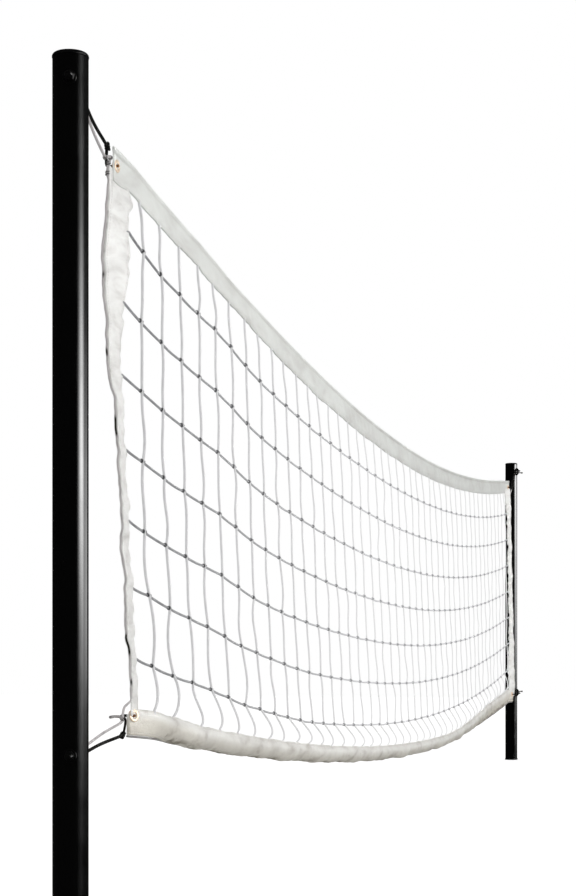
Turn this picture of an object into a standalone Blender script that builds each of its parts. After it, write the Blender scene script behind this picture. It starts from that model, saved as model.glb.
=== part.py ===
"""Pool volleyball net: two deck poles with eye bolts, and a taped twine net tied between them.

Metres, +Z up. X runs from the near pole to the far pole, the poles' feet stand on Z = 0, and the
net hangs in the plane Y = 0. The origin is at the near pole's foot, on its axis.
"""

import math

import bmesh
import bpy
import numpy as np
from mathutils import Vector

# Fits
GAP = 0.0003             # between pieces that touch
SEAM = 0.0004            # between a hem and the hem sewn to it

# Poles
POLE_SPACING = 5.14      # axis to axis
TUBE_OD = 0.0483
TUBE_WALL = 0.0026
TUBE_LENGTH = 1.198
CAP_DEPTH = 0.020        # of the cap's barrel in the tube
CAP_WALL = 0.0025
CAP_RIM = 0.0006         # how far the cap stands out past the tube
CAP_CROWN = 0.006
PLUG_FLANGE = 0.0055     # thickness of the foot plug's flange
PLUG_RIM = 0.0014        # how far the flange stands out past the tube
PLUG_DEPTH = 0.032
PLUG_WALL = 0.003
PLUG_LIP = 0.0012        # height of the plug's sealing lips
PLUG_LIPS = 2
POLE_SEGMENTS = 28

# Through bolts with an eye
UPPER_EYE_DROP = 0.0325  # from the tube's top
SHANK_D = 0.008
EYE_BORE = 0.016
EYE_WIRE = 0.007
COLLAR_D = 0.0125
COLLAR_DEPTH = 0.004
WASHER_D = 0.019
WASHER_THICK = 0.0016
NUT_FLATS = 0.013
NUT_HEX = 0.0075         # height of the nut's hexagon
NUT_LENGTH = 0.015
THREAD_OUT = 0.0085      # shank past the nut's face
NEAR_EYE_TURN = 17.0     # degrees from +X
FAR_EYE_TURN = 218.0

# Tapes
TAPE_WIDTH = 0.050
PLY = 0.0010
TWINE = 0.003
TWINE_FIT = 0.0006       # each side of the twine in a tape
SLOT = TWINE + 2 * TWINE_FIT
PINCH = 0.0003           # the same at a tape's end, where the grommet squeezes it
PINCH_RUN = 0.045
FLAT_END = 0.026         # a tape's end is flat this far, and opens and turns back past it
ROPE_HEAD_D = 0.007
ROPE_FOOT_D = 0.005
ROPE_SIDE_D = 0.004
TIE_D = 0.006

# Head and foot of the net: edge heights measured from the eyes, and how far the span sags
HEAD_NEAR_DROP = 0.0393
HEAD_FAR_DROP = 0.0493
HEAD_SAG = 0.141
FOOT_NEAR_RISE = 0.017
FOOT_FAR_RISE = -0.042
FOOT_SAG = 0.115
FOOT_LEAN = 46.0         # degrees that the slack foot tape lies over
FOOT_LEAN_RUN = 0.08
FOOT_FAR_SET = -0.011    # the far lower corner is pulled this far off the plane

# Grommets
GROMMET_BORE = 0.0095
GROMMET_WALL = 0.0008
GROMMET_D = 0.0185
GROMMET_LEAF = 0.0010
GROMMET_SEGMENTS = 14
GROMMET_INSET = 0.013    # from the tape's end to the grommet's axis
# corner: along, depth from the tape's outer edge, turn of the tape's end in degrees
GROMMETS = {
    "near_top": (0.187, 0.021, 20.0),
    "near_bottom": (0.2654, 0.029, 30.0),
    "far_top": (5.010, 0.021, 18.0),
    "far_bottom": (5.055, 0.029, 20.0),
}
TIE_KNOT_OUT = 0.0115    # from the eye to the tie's end knot behind it
CORD_KNOT_OUT = 0.0225   # and to the side cord's end knot, clear of the tie's
CURL_FADE = 0.045        # how soon a tape's end comes back into the net's plane

# Twine mesh
STRINGS = 44
ROWS = 7
MESH = 0.1035            # knot to knot
FIRST_ROW = 0.127        # from the head tape's edge
LAST_ROW = 0.092         # from the last row down to the foot tape's edge
NEAR_LIFT = 0.026        # the rows rise at their near end
LIFT_POWER = 18
TUCK = 0.008             # how far a string runs into a tape
LEAD = 0.003             # where it bends, outside the tape
STRING_START = 0.195
STRING_SPAN = 4.82
LOW_SHIFT = 0.062        # the slack pushes the lower knots this far inward
SHIFT_POWER = 3.5
FOOT_SHIFT = 0.020       # the foot of the first string stands this far inward
LEAN_IN = 0.17           # the strings in the middle lean this far towards the far pole
CROWDING = 0.075         # the strings stand closer at the near end

# The slack near the near pole lifts the rows: along from the first string, upper rows, lower rows
ROW_SWELL = [
    (0.00, -0.009, -0.004),
    (0.10, 0.003, 0.0155),
    (0.20, 0.006, 0.0145),
    (0.30, 0.010, 0.0170),
    (0.40, 0.012, 0.0190),
    (0.50, 0.0165, 0.0180),
    (0.60, 0.015, 0.0145),
    (0.70, 0.0075, 0.0090),
    (0.80, 0.003, 0.0085),
    (1.00, 0.001, 0.0040),
    (1.20, 0.000, 0.0000),
]
UPPER_ROWS = 5

# Side tapes: fall from the head tape to the foot tape, along, side step, turn in degrees
NEAR_SIDE = [
    (0.00, 0.188, 0.0, 12.0),
    (0.08, 0.190, 0.0, 24.0),
    (0.14, 0.188, 0.0, 30.0),
    (0.22, 0.185, 0.0, 18.0),
    (0.30, 0.182, 0.0, 8.0),
    (0.41, 0.192, 0.0, 0.0),
    (0.62, 0.220, 0.0, -6.5),
    (0.79, 0.243, 0.0, -7.5),
    (0.92, 0.257, 0.0, -6.5),
    (1.00, 0.262, 0.0, 8.0),
]
FAR_SIDE = [
    (0.00, 5.005, 0.000, 17.0),
    (0.50, 5.030, -0.005, 18.0),
    (1.00, 5.055, -0.011, 20.0),
]

TUBE_FOOT = PLUG_FLANGE + GAP
TUBE_TOP = TUBE_FOOT + TUBE_LENGTH
UPPER_EYE_Z = TUBE_TOP - UPPER_EYE_DROP
NET_DEPTH = FIRST_ROW + (ROWS - 1) * MESH + LAST_ROW
LOWER_EYE_Z = UPPER_EYE_Z - HEAD_NEAR_DROP - NET_DEPTH - FOOT_NEAR_RISE
TUBE_R = TUBE_OD / 2
TUBE_BORE_R = TUBE_R - TUBE_WALL
SEAT_R = TUBE_R + GAP + WASHER_THICK + GAP
EYE_OUT = SEAT_R + EYE_BORE / 2 + EYE_WIRE
POLE_X = {"near": 0.0, "far": POLE_SPACING}
EYE_TURN = {"near": NEAR_EYE_TURN, "far": FAR_EYE_TURN}
EYE_Z = {"lower": LOWER_EYE_Z, "upper": UPPER_EYE_Z}


# Materials

def material(name, colour, roughness, metallic=0.0):
    made = bpy.data.materials.new(name)
    made.use_nodes = True
    shader = made.node_tree.nodes["Principled BSDF"]
    shader.inputs["Base Color"].default_value = (*colour, 1.0)
    shader.inputs["Roughness"].default_value = roughness
    shader.inputs["Metallic"].default_value = metallic
    return made


# Shapes

def add_object(name, mesh, paint):
    mesh.materials.append(paint)
    made = bpy.data.objects.new(name, mesh)
    bpy.context.collection.objects.link(made)
    return made


def finish_mesh(name, shape, sharp_degrees=35.0):
    bmesh.ops.recalc_face_normals(shape, faces=shape.faces)
    mesh = bpy.data.meshes.new(name)
    shape.to_mesh(mesh)
    shape.free()
    mesh.shade_smooth()
    mesh.set_sharp_from_angle(angle=math.radians(sharp_degrees))
    return mesh


def turned(name, profile, segments, axis=Vector((0, 0, 1))):
    """A closed profile of (radius, height) pairs, turned about the axis; radius 0 closes at a point."""
    shape = bmesh.new()
    rings = []
    for radius, height in profile:
        if radius == 0:
            rings.append([shape.verts.new((0, 0, height))])
            continue
        turns = [2 * math.pi * k / segments for k in range(segments)]
        rings.append([shape.verts.new((radius * math.cos(a), radius * math.sin(a), height)) for a in turns])
    closed = all(radius > 0 for radius, height in profile)
    pairs = list(zip(rings, rings[1:])) + ([(rings[-1], rings[0])] if closed else [])
    for low, high in pairs:
        for k in range(segments):
            after = (k + 1) % segments
            corners = [low[k % len(low)], low[after % len(low)], high[after % len(high)], high[k % len(high)]]
            shape.faces.new(list(dict.fromkeys(corners)))
    turn = Vector((0, 0, 1)).rotation_difference(axis).to_matrix().to_4x4()
    bmesh.ops.transform(shape, matrix=turn, verts=shape.verts)
    return finish_mesh(name, shape)


def cylinder(name, radius, start, end, segments, axis):
    return turned(name, [(0, start), (radius, start), (radius, end), (0, end)], segments, axis)


def lofted(name, rings, depths):
    """Rings of an open channel section: the first half of each ring runs outside, the rest back inside.

    Every panel is split from the first ring's deeper corner, so that the plies stay parallel in a twist.
    """
    shape = bmesh.new()
    loops = [[shape.verts.new(point) for point in ring] for ring in rings]
    count = len(loops[0])
    for first, second in zip(loops, loops[1:]):
        for k in range(count):
            after = (k + 1) % count
            if depths[k] >= depths[after]:
                shape.faces.new([first[k], first[after], second[after]])
                shape.faces.new([first[k], second[after], second[k]])
            else:
                shape.faces.new([first[k], first[after], second[k]])
                shape.faces.new([first[after], second[after], second[k]])
    for loop in (loops[0], loops[-1]):
        for k in range(count // 2 - 1):
            shape.faces.new([loop[k], loop[k + 1], loop[count - 2 - k], loop[count - 1 - k]])
    return finish_mesh(name, shape)


def boolean(target, name, mesh, operation):
    """A cut or a join with a hidden body that follows the target."""
    guide = bpy.data.objects.new(name, mesh)
    bpy.context.collection.objects.link(guide)
    guide.parent = target
    guide.hide_render = True
    guide.display_type = "WIRE"
    step = target.modifiers.new(name, "BOOLEAN")
    step.operation = operation
    step.solver = "EXACT"
    step.object = guide
    return guide


def cord(name, points, diameter, paint, swell=None):
    """A round cord through the points, fatter at its knots."""
    curve = bpy.data.curves.new(name, "CURVE")
    curve.dimensions = "3D"
    curve.bevel_depth = diameter / 2
    curve.bevel_resolution = 2
    curve.use_fill_caps = True
    spline = curve.splines.new("POLY")
    spline.points.add(len(points) - 1)
    spline.use_smooth = True
    for k, point in enumerate(points):
        spline.points[k].co = (*point, 1.0)
        spline.points[k].radius = swell[k] if swell else 1.0
    return add_object(name, curve, paint)


def smooth_route(route, steps=3):
    """Points read from a smooth curve through the route's (x, y, z, swell) points."""
    keys = np.array([route[0]] + list(route) + [route[-1]], dtype=float)
    smooth = []
    for k in range(1, len(keys) - 2):
        before, start, end, after = keys[k - 1:k + 3]
        for t in np.arange(steps) / steps:
            pull = 0.5 * (end - before) * t * (1 - t) ** 2 - 0.5 * (after - start) * t * t * (1 - t)
            smooth.append(start + (end - start) * t * t * (3 - 2 * t) + pull)
    smooth.append(keys[-2])
    return [Vector(key[:3]) for key in smooth], [float(key[3]) for key in smooth]


# Poles and their fittings

def pole_tube(side, paint):
    outer = [(TUBE_R, TUBE_FOOT), (TUBE_R, TUBE_TOP), (TUBE_BORE_R, TUBE_TOP), (TUBE_BORE_R, TUBE_FOOT)]
    tube = add_object(f"{side}_pole_tube", turned("tube", outer, POLE_SEGMENTS), paint)
    tube.location.x = POLE_X[side]
    for level, height in EYE_Z.items():
        drill = cylinder("drill", SHANK_D / 2 + GAP, -TUBE_OD, TUBE_OD, 12, Vector((1, 0, 0)))
        guide = boolean(tube, f"{side}_{level}_drill", drill, "DIFFERENCE")
        guide.location.z = height
        guide.rotation_euler.z = math.radians(EYE_TURN[side])


def pole_cap(side, paint):
    """A domed cap whose barrel is pressed into the tube's end."""
    rim = TUBE_R + CAP_RIM
    barrel = TUBE_BORE_R - GAP
    seat = TUBE_TOP + GAP
    foot = TUBE_TOP - CAP_DEPTH
    top = seat + CAP_CROWN
    round_off = CAP_CROWN * 0.8
    shoulder = [
        (rim - round_off * (1 - math.cos(a)), top - round_off * (1 - math.sin(a)))
        for a in (math.radians(15 * k) for k in range(5))
    ]
    dome = [(rim * 0.55, top - 0.0003), (0, top)]
    hollow = [(0, seat), (barrel - CAP_WALL, seat), (barrel - CAP_WALL, foot), (barrel, foot)]
    profile = hollow + [(barrel, seat), (rim, seat)] + shoulder + dome
    cap = add_object(f"{side}_pole_cap", turned("cap", profile, POLE_SEGMENTS), paint)
    cap.location.x = POLE_X[side]


def foot_plug(side, paint):
    bore = TUBE_BORE_R - GAP
    barrel = bore - PLUG_LIP
    rim = TUBE_R + PLUG_RIM
    top = TUBE_FOOT + PLUG_DEPTH
    chamfer = PLUG_FLANGE / 4
    profile = [(0, 0), (rim - chamfer, 0), (rim, chamfer), (rim, PLUG_FLANGE), (barrel, PLUG_FLANGE)]
    pitch = PLUG_DEPTH / (PLUG_LIPS + 1)
    for k in range(1, PLUG_LIPS + 1):
        lip = TUBE_FOOT + k * pitch
        profile += [(barrel, lip - PLUG_LIP), (bore, lip), (barrel, lip + PLUG_LIP)]
    profile += [(barrel, top), (barrel - PLUG_WALL, top), (barrel - PLUG_WALL, PLUG_FLANGE), (0, PLUG_FLANGE)]
    plug = add_object(f"{side}_foot_plug", turned("plug", profile, 20), paint)
    plug.location.x = POLE_X[side]


def bolt_axis(side, level, part):
    """Stands a fitting made along +X on the bolt's axis."""
    part.location = (POLE_X[side], 0, EYE_Z[level])
    part.rotation_euler.z = math.radians(EYE_TURN[side])


def eye_bolt(side, level, paint):
    shape = bmesh.new()
    major = (EYE_BORE + EYE_WIRE) / 2
    rings = []
    around, sides = 16, 7
    for k in range(around):
        turn = 2 * math.pi * k / around
        out = Vector((math.cos(turn), 0, math.sin(turn)))
        wire = [math.pi + 2 * math.pi * j / sides for j in range(sides)]
        centre = Vector((EYE_OUT, 0, 0)) + out * major
        half = EYE_WIRE / 2
        rings.append([shape.verts.new(centre + out * half * math.cos(a) + Vector((0, half * math.sin(a), 0)))
                      for a in wire])
    for k in range(around):
        for j in range(sides):
            first, second = rings[k], rings[(k + 1) % around]
            shape.faces.new([first[j], first[(j + 1) % sides], second[(j + 1) % sides], second[j]])
    eye = add_object(f"{side}_{level}_eye_bolt", finish_mesh("eye", shape), paint)
    bolt_axis(side, level, eye)
    tip = -(SEAT_R + THREAD_OUT)
    collar = SEAT_R + COLLAR_DEPTH
    root = SEAT_R + EYE_WIRE / 2
    shank = [(0, tip), (SHANK_D / 2 - 0.0008, tip), (SHANK_D / 2, tip + 0.0008), (SHANK_D / 2, SEAT_R),
             (COLLAR_D / 2, SEAT_R), (COLLAR_D / 2, (SEAT_R + collar) / 2), (SHANK_D / 2, collar), (0, root)]
    boolean(eye, f"{side}_{level}_shank", turned("shank", shank, 10, Vector((1, 0, 0))), "UNION")


def washers(side, level, paint):
    hole = SHANK_D / 2 + GAP
    near_face = TUBE_R + GAP
    far_face = near_face + WASHER_THICK
    edge = WASHER_D / 2
    soft = WASHER_THICK / 4
    profile = [(hole, near_face), (edge, near_face), (edge - soft, far_face), (hole, far_face)]
    for place, axis in (("inner", Vector((1, 0, 0))), ("outer", Vector((-1, 0, 0)))):
        washer = add_object(f"{side}_{level}_{place}_washer", turned("washer", profile, 14, axis), paint)
        bolt_axis(side, level, washer)


def cap_nut(side, level, paint):
    """A domed nut with six flats and a blind bore over the bolt's end."""
    away = Vector((-1, 0, 0))
    corner = NUT_FLATS / math.sqrt(3)
    dome_r = NUT_FLATS / 2 - 0.0004
    dome_foot = SEAT_R + NUT_HEX
    dome_rise = NUT_LENGTH - NUT_HEX
    hexagon = cylinder("hexagon", corner, SEAT_R, dome_foot, 6, away)
    nut = add_object(f"{side}_{level}_cap_nut", hexagon, paint)
    bolt_axis(side, level, nut)
    arc = [math.radians(90 * k / 3) for k in range(4)]
    dome = [(0, SEAT_R + NUT_HEX / 2), (dome_r, SEAT_R + NUT_HEX / 2)]
    dome += [(dome_r * math.cos(a), dome_foot + dome_rise * math.sin(a)) for a in arc[:-1]]
    dome += [(0, dome_foot + dome_rise)]
    boolean(nut, f"{side}_{level}_dome", turned("dome", dome, 12, away), "UNION")
    bore_end = SEAT_R + THREAD_OUT + GAP
    bore = cylinder("bore", SHANK_D / 2 + GAP, SEAT_R - NUT_HEX, bore_end, 12, away)
    boolean(nut, f"{side}_{level}_bore", bore, "DIFFERENCE")


# The net's outline

def share(along, start, end):
    return (along - start) / (end - start)


def tape_ends(edge):
    """Where the head or foot tape ends, from the grommets that it carries."""
    place = {"head": "top", "foot": "bottom"}[edge]
    near, far = GROMMETS[f"near_{place}"], GROMMETS[f"far_{place}"]
    start = near[0] - GROMMET_INSET * math.cos(math.radians(near[2]))
    end = far[0] + GROMMET_INSET * math.cos(math.radians(far[2]))
    return start, end


def head_edge(along):
    start, end = tape_ends("head")
    u = share(along, start, end)
    near, far = UPPER_EYE_Z - HEAD_NEAR_DROP, UPPER_EYE_Z - HEAD_FAR_DROP
    return near + (far - near) * u - 4 * HEAD_SAG * u * (1 - u)


def foot_edge(along):
    start, end = tape_ends("foot")
    u = share(along, start, end)
    near, far = LOWER_EYE_Z + FOOT_NEAR_RISE, LOWER_EYE_Z + FOOT_FAR_RISE
    return near + (far - near) * u - 4 * FOOT_SAG * u * (1 - u)


def foot_set(along):
    start, end = tape_ends("foot")
    return FOOT_FAR_SET * min(1.0, max(0.0, share(along, start, end)))


def foot_lean(along):
    start, end = tape_ends("foot")
    past = max(0.0, min(along - start, end - along) - FLAT_END)
    return math.radians(FOOT_LEAN) * (1 - math.exp(-(past / FOOT_LEAN_RUN) ** 2))


def travel_way(turn):
    """The way a tape runs, from the near pole to the far one, where it is turned out of the net's plane."""
    return Vector((math.cos(turn), -math.sin(turn), 0))


def front_way(turn):
    """The way the turned tape's front faces."""
    return Vector((-math.sin(turn), -math.cos(turn), 0))


def curl(corner, inward):
    """How far a tape has drifted and turned at a distance inward from its end.

    The end is flat, with no drift at the grommet; past it the tape swings back into the net's plane.
    """
    turn = math.radians(GROMMETS[corner][2])
    slope = math.tan(turn)
    inset = GROMMET_INSET * math.cos(turn)
    past = max(0.0, inward - FLAT_END)
    swing = CURL_FADE ** 2 / (CURL_FADE + FLAT_END - inset)
    fade = math.exp(-past / CURL_FADE)
    onward = CURL_FADE * (1 - fade) - CURL_FADE ** 2 * (1 - fade * (1 + past / CURL_FADE)) / swing
    drift = -slope * (min(inward, FLAT_END) - inset + onward)
    return drift, math.atan(slope * (1 - past / swing) * fade)


def slot_half(inward):
    """Half the space between the plies: open for the twine, closed at the tape's end."""
    t = min(1.0, max(0.0, (inward - FLAT_END) / PINCH_RUN))
    return PINCH / 2 + (SLOT - PINCH) / 2 * t * t * (3 - 2 * t)


class Tape:
    """A folded strip: at each station a point on its closed edge and a direction across it."""

    def __init__(self):
        self.keys = []
        self.edges = []
        self.across = []
        self.normals = []
        self.slots = []

    def add(self, key, edge, across, normal, slot):
        self.keys.append(key)
        self.edges.append(edge)
        self.across.append(across)
        self.normals.append(normal)
        self.slots.append(slot)

    def seat(self, key, depth):
        """A point in the tape's slot, on the faceted strip itself."""
        k = max(0, min(len(self.keys) - 2, int(np.searchsorted(self.keys, key)) - 1))
        t = (key - self.keys[k]) / (self.keys[k + 1] - self.keys[k])
        fold = 2 * PLY
        v = (depth - fold) / (TAPE_WIDTH - fold)
        fold_first, fold_second = (self.edges[j] + self.across[j] * fold for j in (k, k + 1))
        mouth_first, mouth_second = (self.edges[j] + self.across[j] * TAPE_WIDTH for j in (k, k + 1))
        if t + v < 1:
            return fold_first + (fold_second - fold_first) * t + (mouth_first - fold_first) * v
        return mouth_second + (mouth_first - mouth_second) * (1 - t) + (fold_second - mouth_second) * (1 - v)

    def offset(self, depth):
        return [edge + across * depth for edge, across in zip(self.edges, self.across)]

    def mesh(self, name, section):
        rings = []
        for edge, across, normal, slot in zip(self.edges, self.across, self.normals, self.slots):
            rings.append([edge + across * depth + normal * side for side, depth in section(slot)])
        return lofted(name, rings, [depth for side, depth in section(SLOT / 2)])


def flat_fold(slot):
    """Section of a tape folded flat: outer side, then back along the inner side."""
    out = slot + PLY
    tight = min(slot, PLY)
    outer = [(out, TAPE_WIDTH), (out, PLY), (out - PLY / 2, 0), (PLY / 2 - out, 0), (-out, PLY), (-out, TAPE_WIDTH)]
    inner = [(-slot, TAPE_WIDTH), (-slot, 2 * PLY), (tight / 2 - slot, PLY), (slot - tight / 2, PLY),
             (slot, 2 * PLY), (slot, TAPE_WIDTH)]
    return outer + inner


def rope_fold(slot):
    """Section of the head tape: round its rope at the edge, then two plies."""
    inner_r = ROPE_HEAD_D / 2 + GAP
    outer_r = inner_r + PLY
    flats = 7

    def arc(clear, half):
        radius = clear / math.cos(math.pi / flats)
        stop = math.asin(half / radius)
        sweep = [stop + (2 * math.pi - 2 * stop) * k / flats for k in range(flats + 1)]
        return [(radius * math.sin(a), outer_r + radius * math.cos(a)) for a in sweep]

    outer = [(slot + PLY, TAPE_WIDTH)] + arc(outer_r, slot + PLY) + [(-slot - PLY, TAPE_WIDTH)]
    inner = [(slot, TAPE_WIDTH)] + arc(inner_r, slot) + [(-slot, TAPE_WIDTH)]
    return outer + inner[::-1]


END_STEPS = (0.0, FLAT_END, 0.042, 0.062, 0.090, 0.130, 0.180)


def long_stations(edge, extra):
    start, end = tape_ends(edge)
    places = [start + step for step in END_STEPS] + [end - step for step in END_STEPS] + list(extra)
    places = sorted(place for place in places if start <= place <= end)
    kept = [places[0]]
    for place in places[1:]:
        if place - kept[-1] > 0.004:
            kept.append(place)
    return kept


def long_tape(edge, extra):
    """The head tape hangs straight down from its edge, the foot tape stands up and lies over."""
    start, end = tape_ends(edge)
    place = {"head": "top", "foot": "bottom"}[edge]
    tape = Tape()
    for along in long_stations(edge, extra):
        if along - start < end - along:
            inward = along - start
            side, heading = curl(f"near_{place}", inward)
        else:
            inward = end - along
            side, heading = curl(f"far_{place}", inward)
            side = -side
        front = front_way(heading)
        x = POLE_X["near"] + along
        if edge == "head":
            point = Vector((x, side, head_edge(along)))
            across = Vector((0, 0, -1))
            normal = front
        else:
            lean = foot_lean(along)
            point = Vector((x, side + foot_set(along), foot_edge(along)))
            across = front * math.sin(lean) + Vector((0, 0, math.cos(lean)))
            normal = front * math.cos(lean) - Vector((0, 0, math.sin(lean)))
        tape.add(along, point, across, normal, slot_half(inward))
    return tape


def side_line(table, fall):
    keys = np.array(table)
    step = [float(np.interp(fall, keys[:, 0], keys[:, column])) for column in (1, 2, 3)]
    return step[0], step[1], math.radians(step[2])


def side_tape(side, heights):
    """A side tape between the head tape's lower edge and the foot tape's upper edge."""
    table = {"near": NEAR_SIDE, "far": FAR_SIDE}[side]
    inward = {"near": 1, "far": -1}[side]
    first = table[0][1]
    last = table[-1][1]
    top = head_edge(first) - TAPE_WIDTH - SEAM
    bottom = foot_edge(last) + TAPE_WIDTH * math.cos(foot_lean(last)) + SEAM
    falls = sorted({0.0, 1.0, *[(top - z) / (top - bottom) for z in heights], *[row[0] for row in table]})
    tape = Tape()
    for fall in falls:
        along, step, turn = side_line(table, fall)
        across = travel_way(turn) * inward
        z = top + (bottom - top) * fall
        slope = 0.0
        if fall == 0.0:
            slope = (head_edge(first + 0.01) - head_edge(first)) / 0.01 * across.x
        if fall == 1.0:
            slope = (foot_edge(last + 0.01) - foot_edge(last)) / 0.01 * across.x
        centre = Vector((POLE_X["near"] + along, step, z))
        sloped = across + Vector((0, 0, slope))
        normal = front_way(turn)
        tape.add(-z, centre - sloped * TAPE_WIDTH / 2, sloped, normal, SLOT / 2)
    return tape


def string_along(n, fall):
    """X of string n at a fall of 0 at the head to 1 at the foot."""
    share_n = n / (STRINGS + 1)
    t = share_n * (1 - CROWDING * (1 - share_n))
    lean = LEAN_IN * 4 * t * (1 - t) * fall
    shift = FOOT_SHIFT if fall == 1 else LOW_SHIFT * fall ** SHIFT_POWER
    return STRING_START + shift * (1 - t) + STRING_SPAN * t + lean


def row_height(row, along):
    t = share(along, STRING_START, STRING_START + STRING_SPAN)
    lift = NEAR_LIFT * (1 - min(1.0, max(0.0, t))) ** LIFT_POWER
    swell = np.array(ROW_SWELL)
    lift += float(np.interp(along - STRING_START, swell[:, 0], swell[:, 1 if row <= UPPER_ROWS else 2]))
    return head_edge(along) - FIRST_ROW - (row - 1) * MESH + lift


def crossing(row, n):
    """Where string n crosses a row."""
    fall = 0.0
    for settle in range(3):
        along = string_along(n, fall)
        z = row_height(row, along)
        fall = (head_edge(along) - z) / (head_edge(along) - foot_edge(along))
    return Vector((POLE_X["near"] + along, foot_set(along) * fall, z))


# The net

def twine_mesh(head, foot, near, far, paint):
    """Square twine, knotted where strings and rows cross, drawn as its middle surface and thickened."""
    shape = bmesh.new()
    half = TWINE / 2
    right = Vector((half, 0, 0))
    up = Vector((0, 0, half))
    knots = {}
    for row in range(1, ROWS + 1):
        for n in range(1, STRINGS + 1):
            centre = crossing(row, n)
            corners = [centre - right - up, centre + right - up, centre + right + up, centre - right + up]
            knot = [shape.verts.new(corner) for corner in corners]
            shape.faces.new(knot)
            knots[row, n] = knot

    def strip(pairs):
        for low, high in zip(pairs, pairs[1:]):
            shape.faces.new([low[0], low[1], high[1], high[0]])

    def seated(tape, key, depth, way=1):
        return [shape.verts.new(tape.seat(key + side * way * half, depth)) for side in (-1, 1)]

    for n in range(1, STRINGS + 1):
        top = string_along(n, 0)
        tuck = seated(head, top, TAPE_WIDTH - TUCK)
        lead = seated(head, top, TAPE_WIDTH + LEAD)
        strip([tuck, lead, [knots[1, n][3], knots[1, n][2]]])
        for row in range(1, ROWS):
            above, below = knots[row, n], knots[row + 1, n]
            strip([[above[0], above[1]], [below[3], below[2]]])
        bottom = string_along(n, 1)
        last = knots[ROWS, n]
        start = (last[0].co + last[1].co) / 2
        end = foot.seat(bottom, TAPE_WIDTH + LEAD)
        into = foot.seat(bottom, TAPE_WIDTH - TUCK)
        chord = (end - start).length
        bow = Vector((math.sqrt(max(0.0, 3 * chord * (MESH - chord) / 8)), 0, 0)) * 4 / 3
        leave = start + bow - Vector((0, 0, chord / 3))
        arrive = end + bow + (end - into).normalized() * chord / 3
        slack = []
        for t in (0.35, 0.7):
            upper = start.lerp(leave, t).lerp(leave.lerp(arrive, t), t)
            lower = leave.lerp(arrive, t).lerp(arrive.lerp(end, t), t)
            middle = upper.lerp(lower, t)
            slack.append([shape.verts.new(middle - right), shape.verts.new(middle + right)])
        lead = seated(foot, bottom, TAPE_WIDTH + LEAD)
        tuck = seated(foot, bottom, TAPE_WIDTH - TUCK)
        strip([[last[0], last[1]]] + slack + [lead, tuck])
    for row in range(1, ROWS + 1):
        first, last = knots[row, 1], knots[row, STRINGS]
        near_z = -row_height(row, NEAR_SIDE[0][1])
        far_z = -row_height(row, FAR_SIDE[0][1])
        tuck = seated(near, near_z, TAPE_WIDTH - TUCK, -1)
        lead = seated(near, near_z, TAPE_WIDTH + LEAD, -1)
        strip([tuck, lead, [first[0], first[3]]])
        for n in range(1, STRINGS):
            left, right_knot = knots[row, n], knots[row, n + 1]
            strip([[left[1], left[2]], [right_knot[0], right_knot[3]]])
        lead = seated(far, far_z, TAPE_WIDTH + LEAD, -1)
        tuck = seated(far, far_z, TAPE_WIDTH - TUCK, -1)
        strip([[last[1], last[2]], lead, tuck])
    net = add_object("net_mesh", finish_mesh("mesh", shape), paint)
    thick = net.modifiers.new("twine", "SOLIDIFY")
    thick.thickness = TWINE
    thick.offset = 0.0


def grommet_frame(corner, tape):
    """The grommet's centre, the way out along the tape, and the tape's front."""
    along, depth, turn = GROMMETS[corner]
    side = corner.split("_")[0]
    centre = tape.seat(along, depth)
    turn = math.radians(turn)
    outward = travel_way(turn) * {"near": -1, "far": 1}[side]
    return centre, outward, front_way(turn)


def grommet(corner, tape, paint):
    """An eyelet in two halves: a barrel with its flange in front, and a ring at the back."""
    centre, outward, front = grommet_frame(corner, tape)
    bore = GROMMET_BORE / 2
    barrel = bore + GROMMET_WALL
    rim = GROMMET_D / 2
    face = PINCH / 2 + PLY + GAP
    outer = face + GROMMET_LEAF
    lip = GROMMET_LEAF / 3
    half = [(bore, -outer), (barrel, -outer), (barrel, face), (rim, face), (rim - lip, outer), (bore, outer)]
    ring_bore = barrel + GAP
    ring = [(ring_bore, -face), (ring_bore, -outer), (rim - lip, -outer), (rim, -face)]
    for part, profile in (("eyelet", half), ("ring", ring)):
        made = add_object(f"{corner}_{part}", turned(part, profile, GROMMET_SEGMENTS, front), paint)
        made.location = centre
    return centre, front, barrel + GAP


def eye_pass(side, level, tilt, diameter, knot, swell):
    """The cord's way through an eye, lying against its bore, from its end knot behind the eye."""
    turn = math.radians(EYE_TURN[side])
    out = Vector((math.cos(turn), math.sin(turn), 0))
    through = Vector((-math.sin(turn), math.cos(turn), 0))
    rest = (EYE_BORE - diameter) / 2 - GAP
    hole = Vector((POLE_X[side], 0, EYE_Z[level] + rest * math.sin(tilt))) + out * (EYE_OUT + rest * math.cos(tilt))
    return [
        (*(hole + through * (knot + 0.0035)), 0.6),
        (*(hole + through * knot), swell),
        (*(hole + through * (knot - 0.0040)), 1.0),
        (*hole, 1.0),
        (*(hole - through * 0.0090), 1.0),
    ]


def by_eye(level, along, y, rise, swell=1.0):
    """A cord's point: its place along the net, its side step, and its rise from that level's eyes."""
    return (POLE_X["near"] + along, y, EYE_Z[level] + rise, swell)


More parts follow.
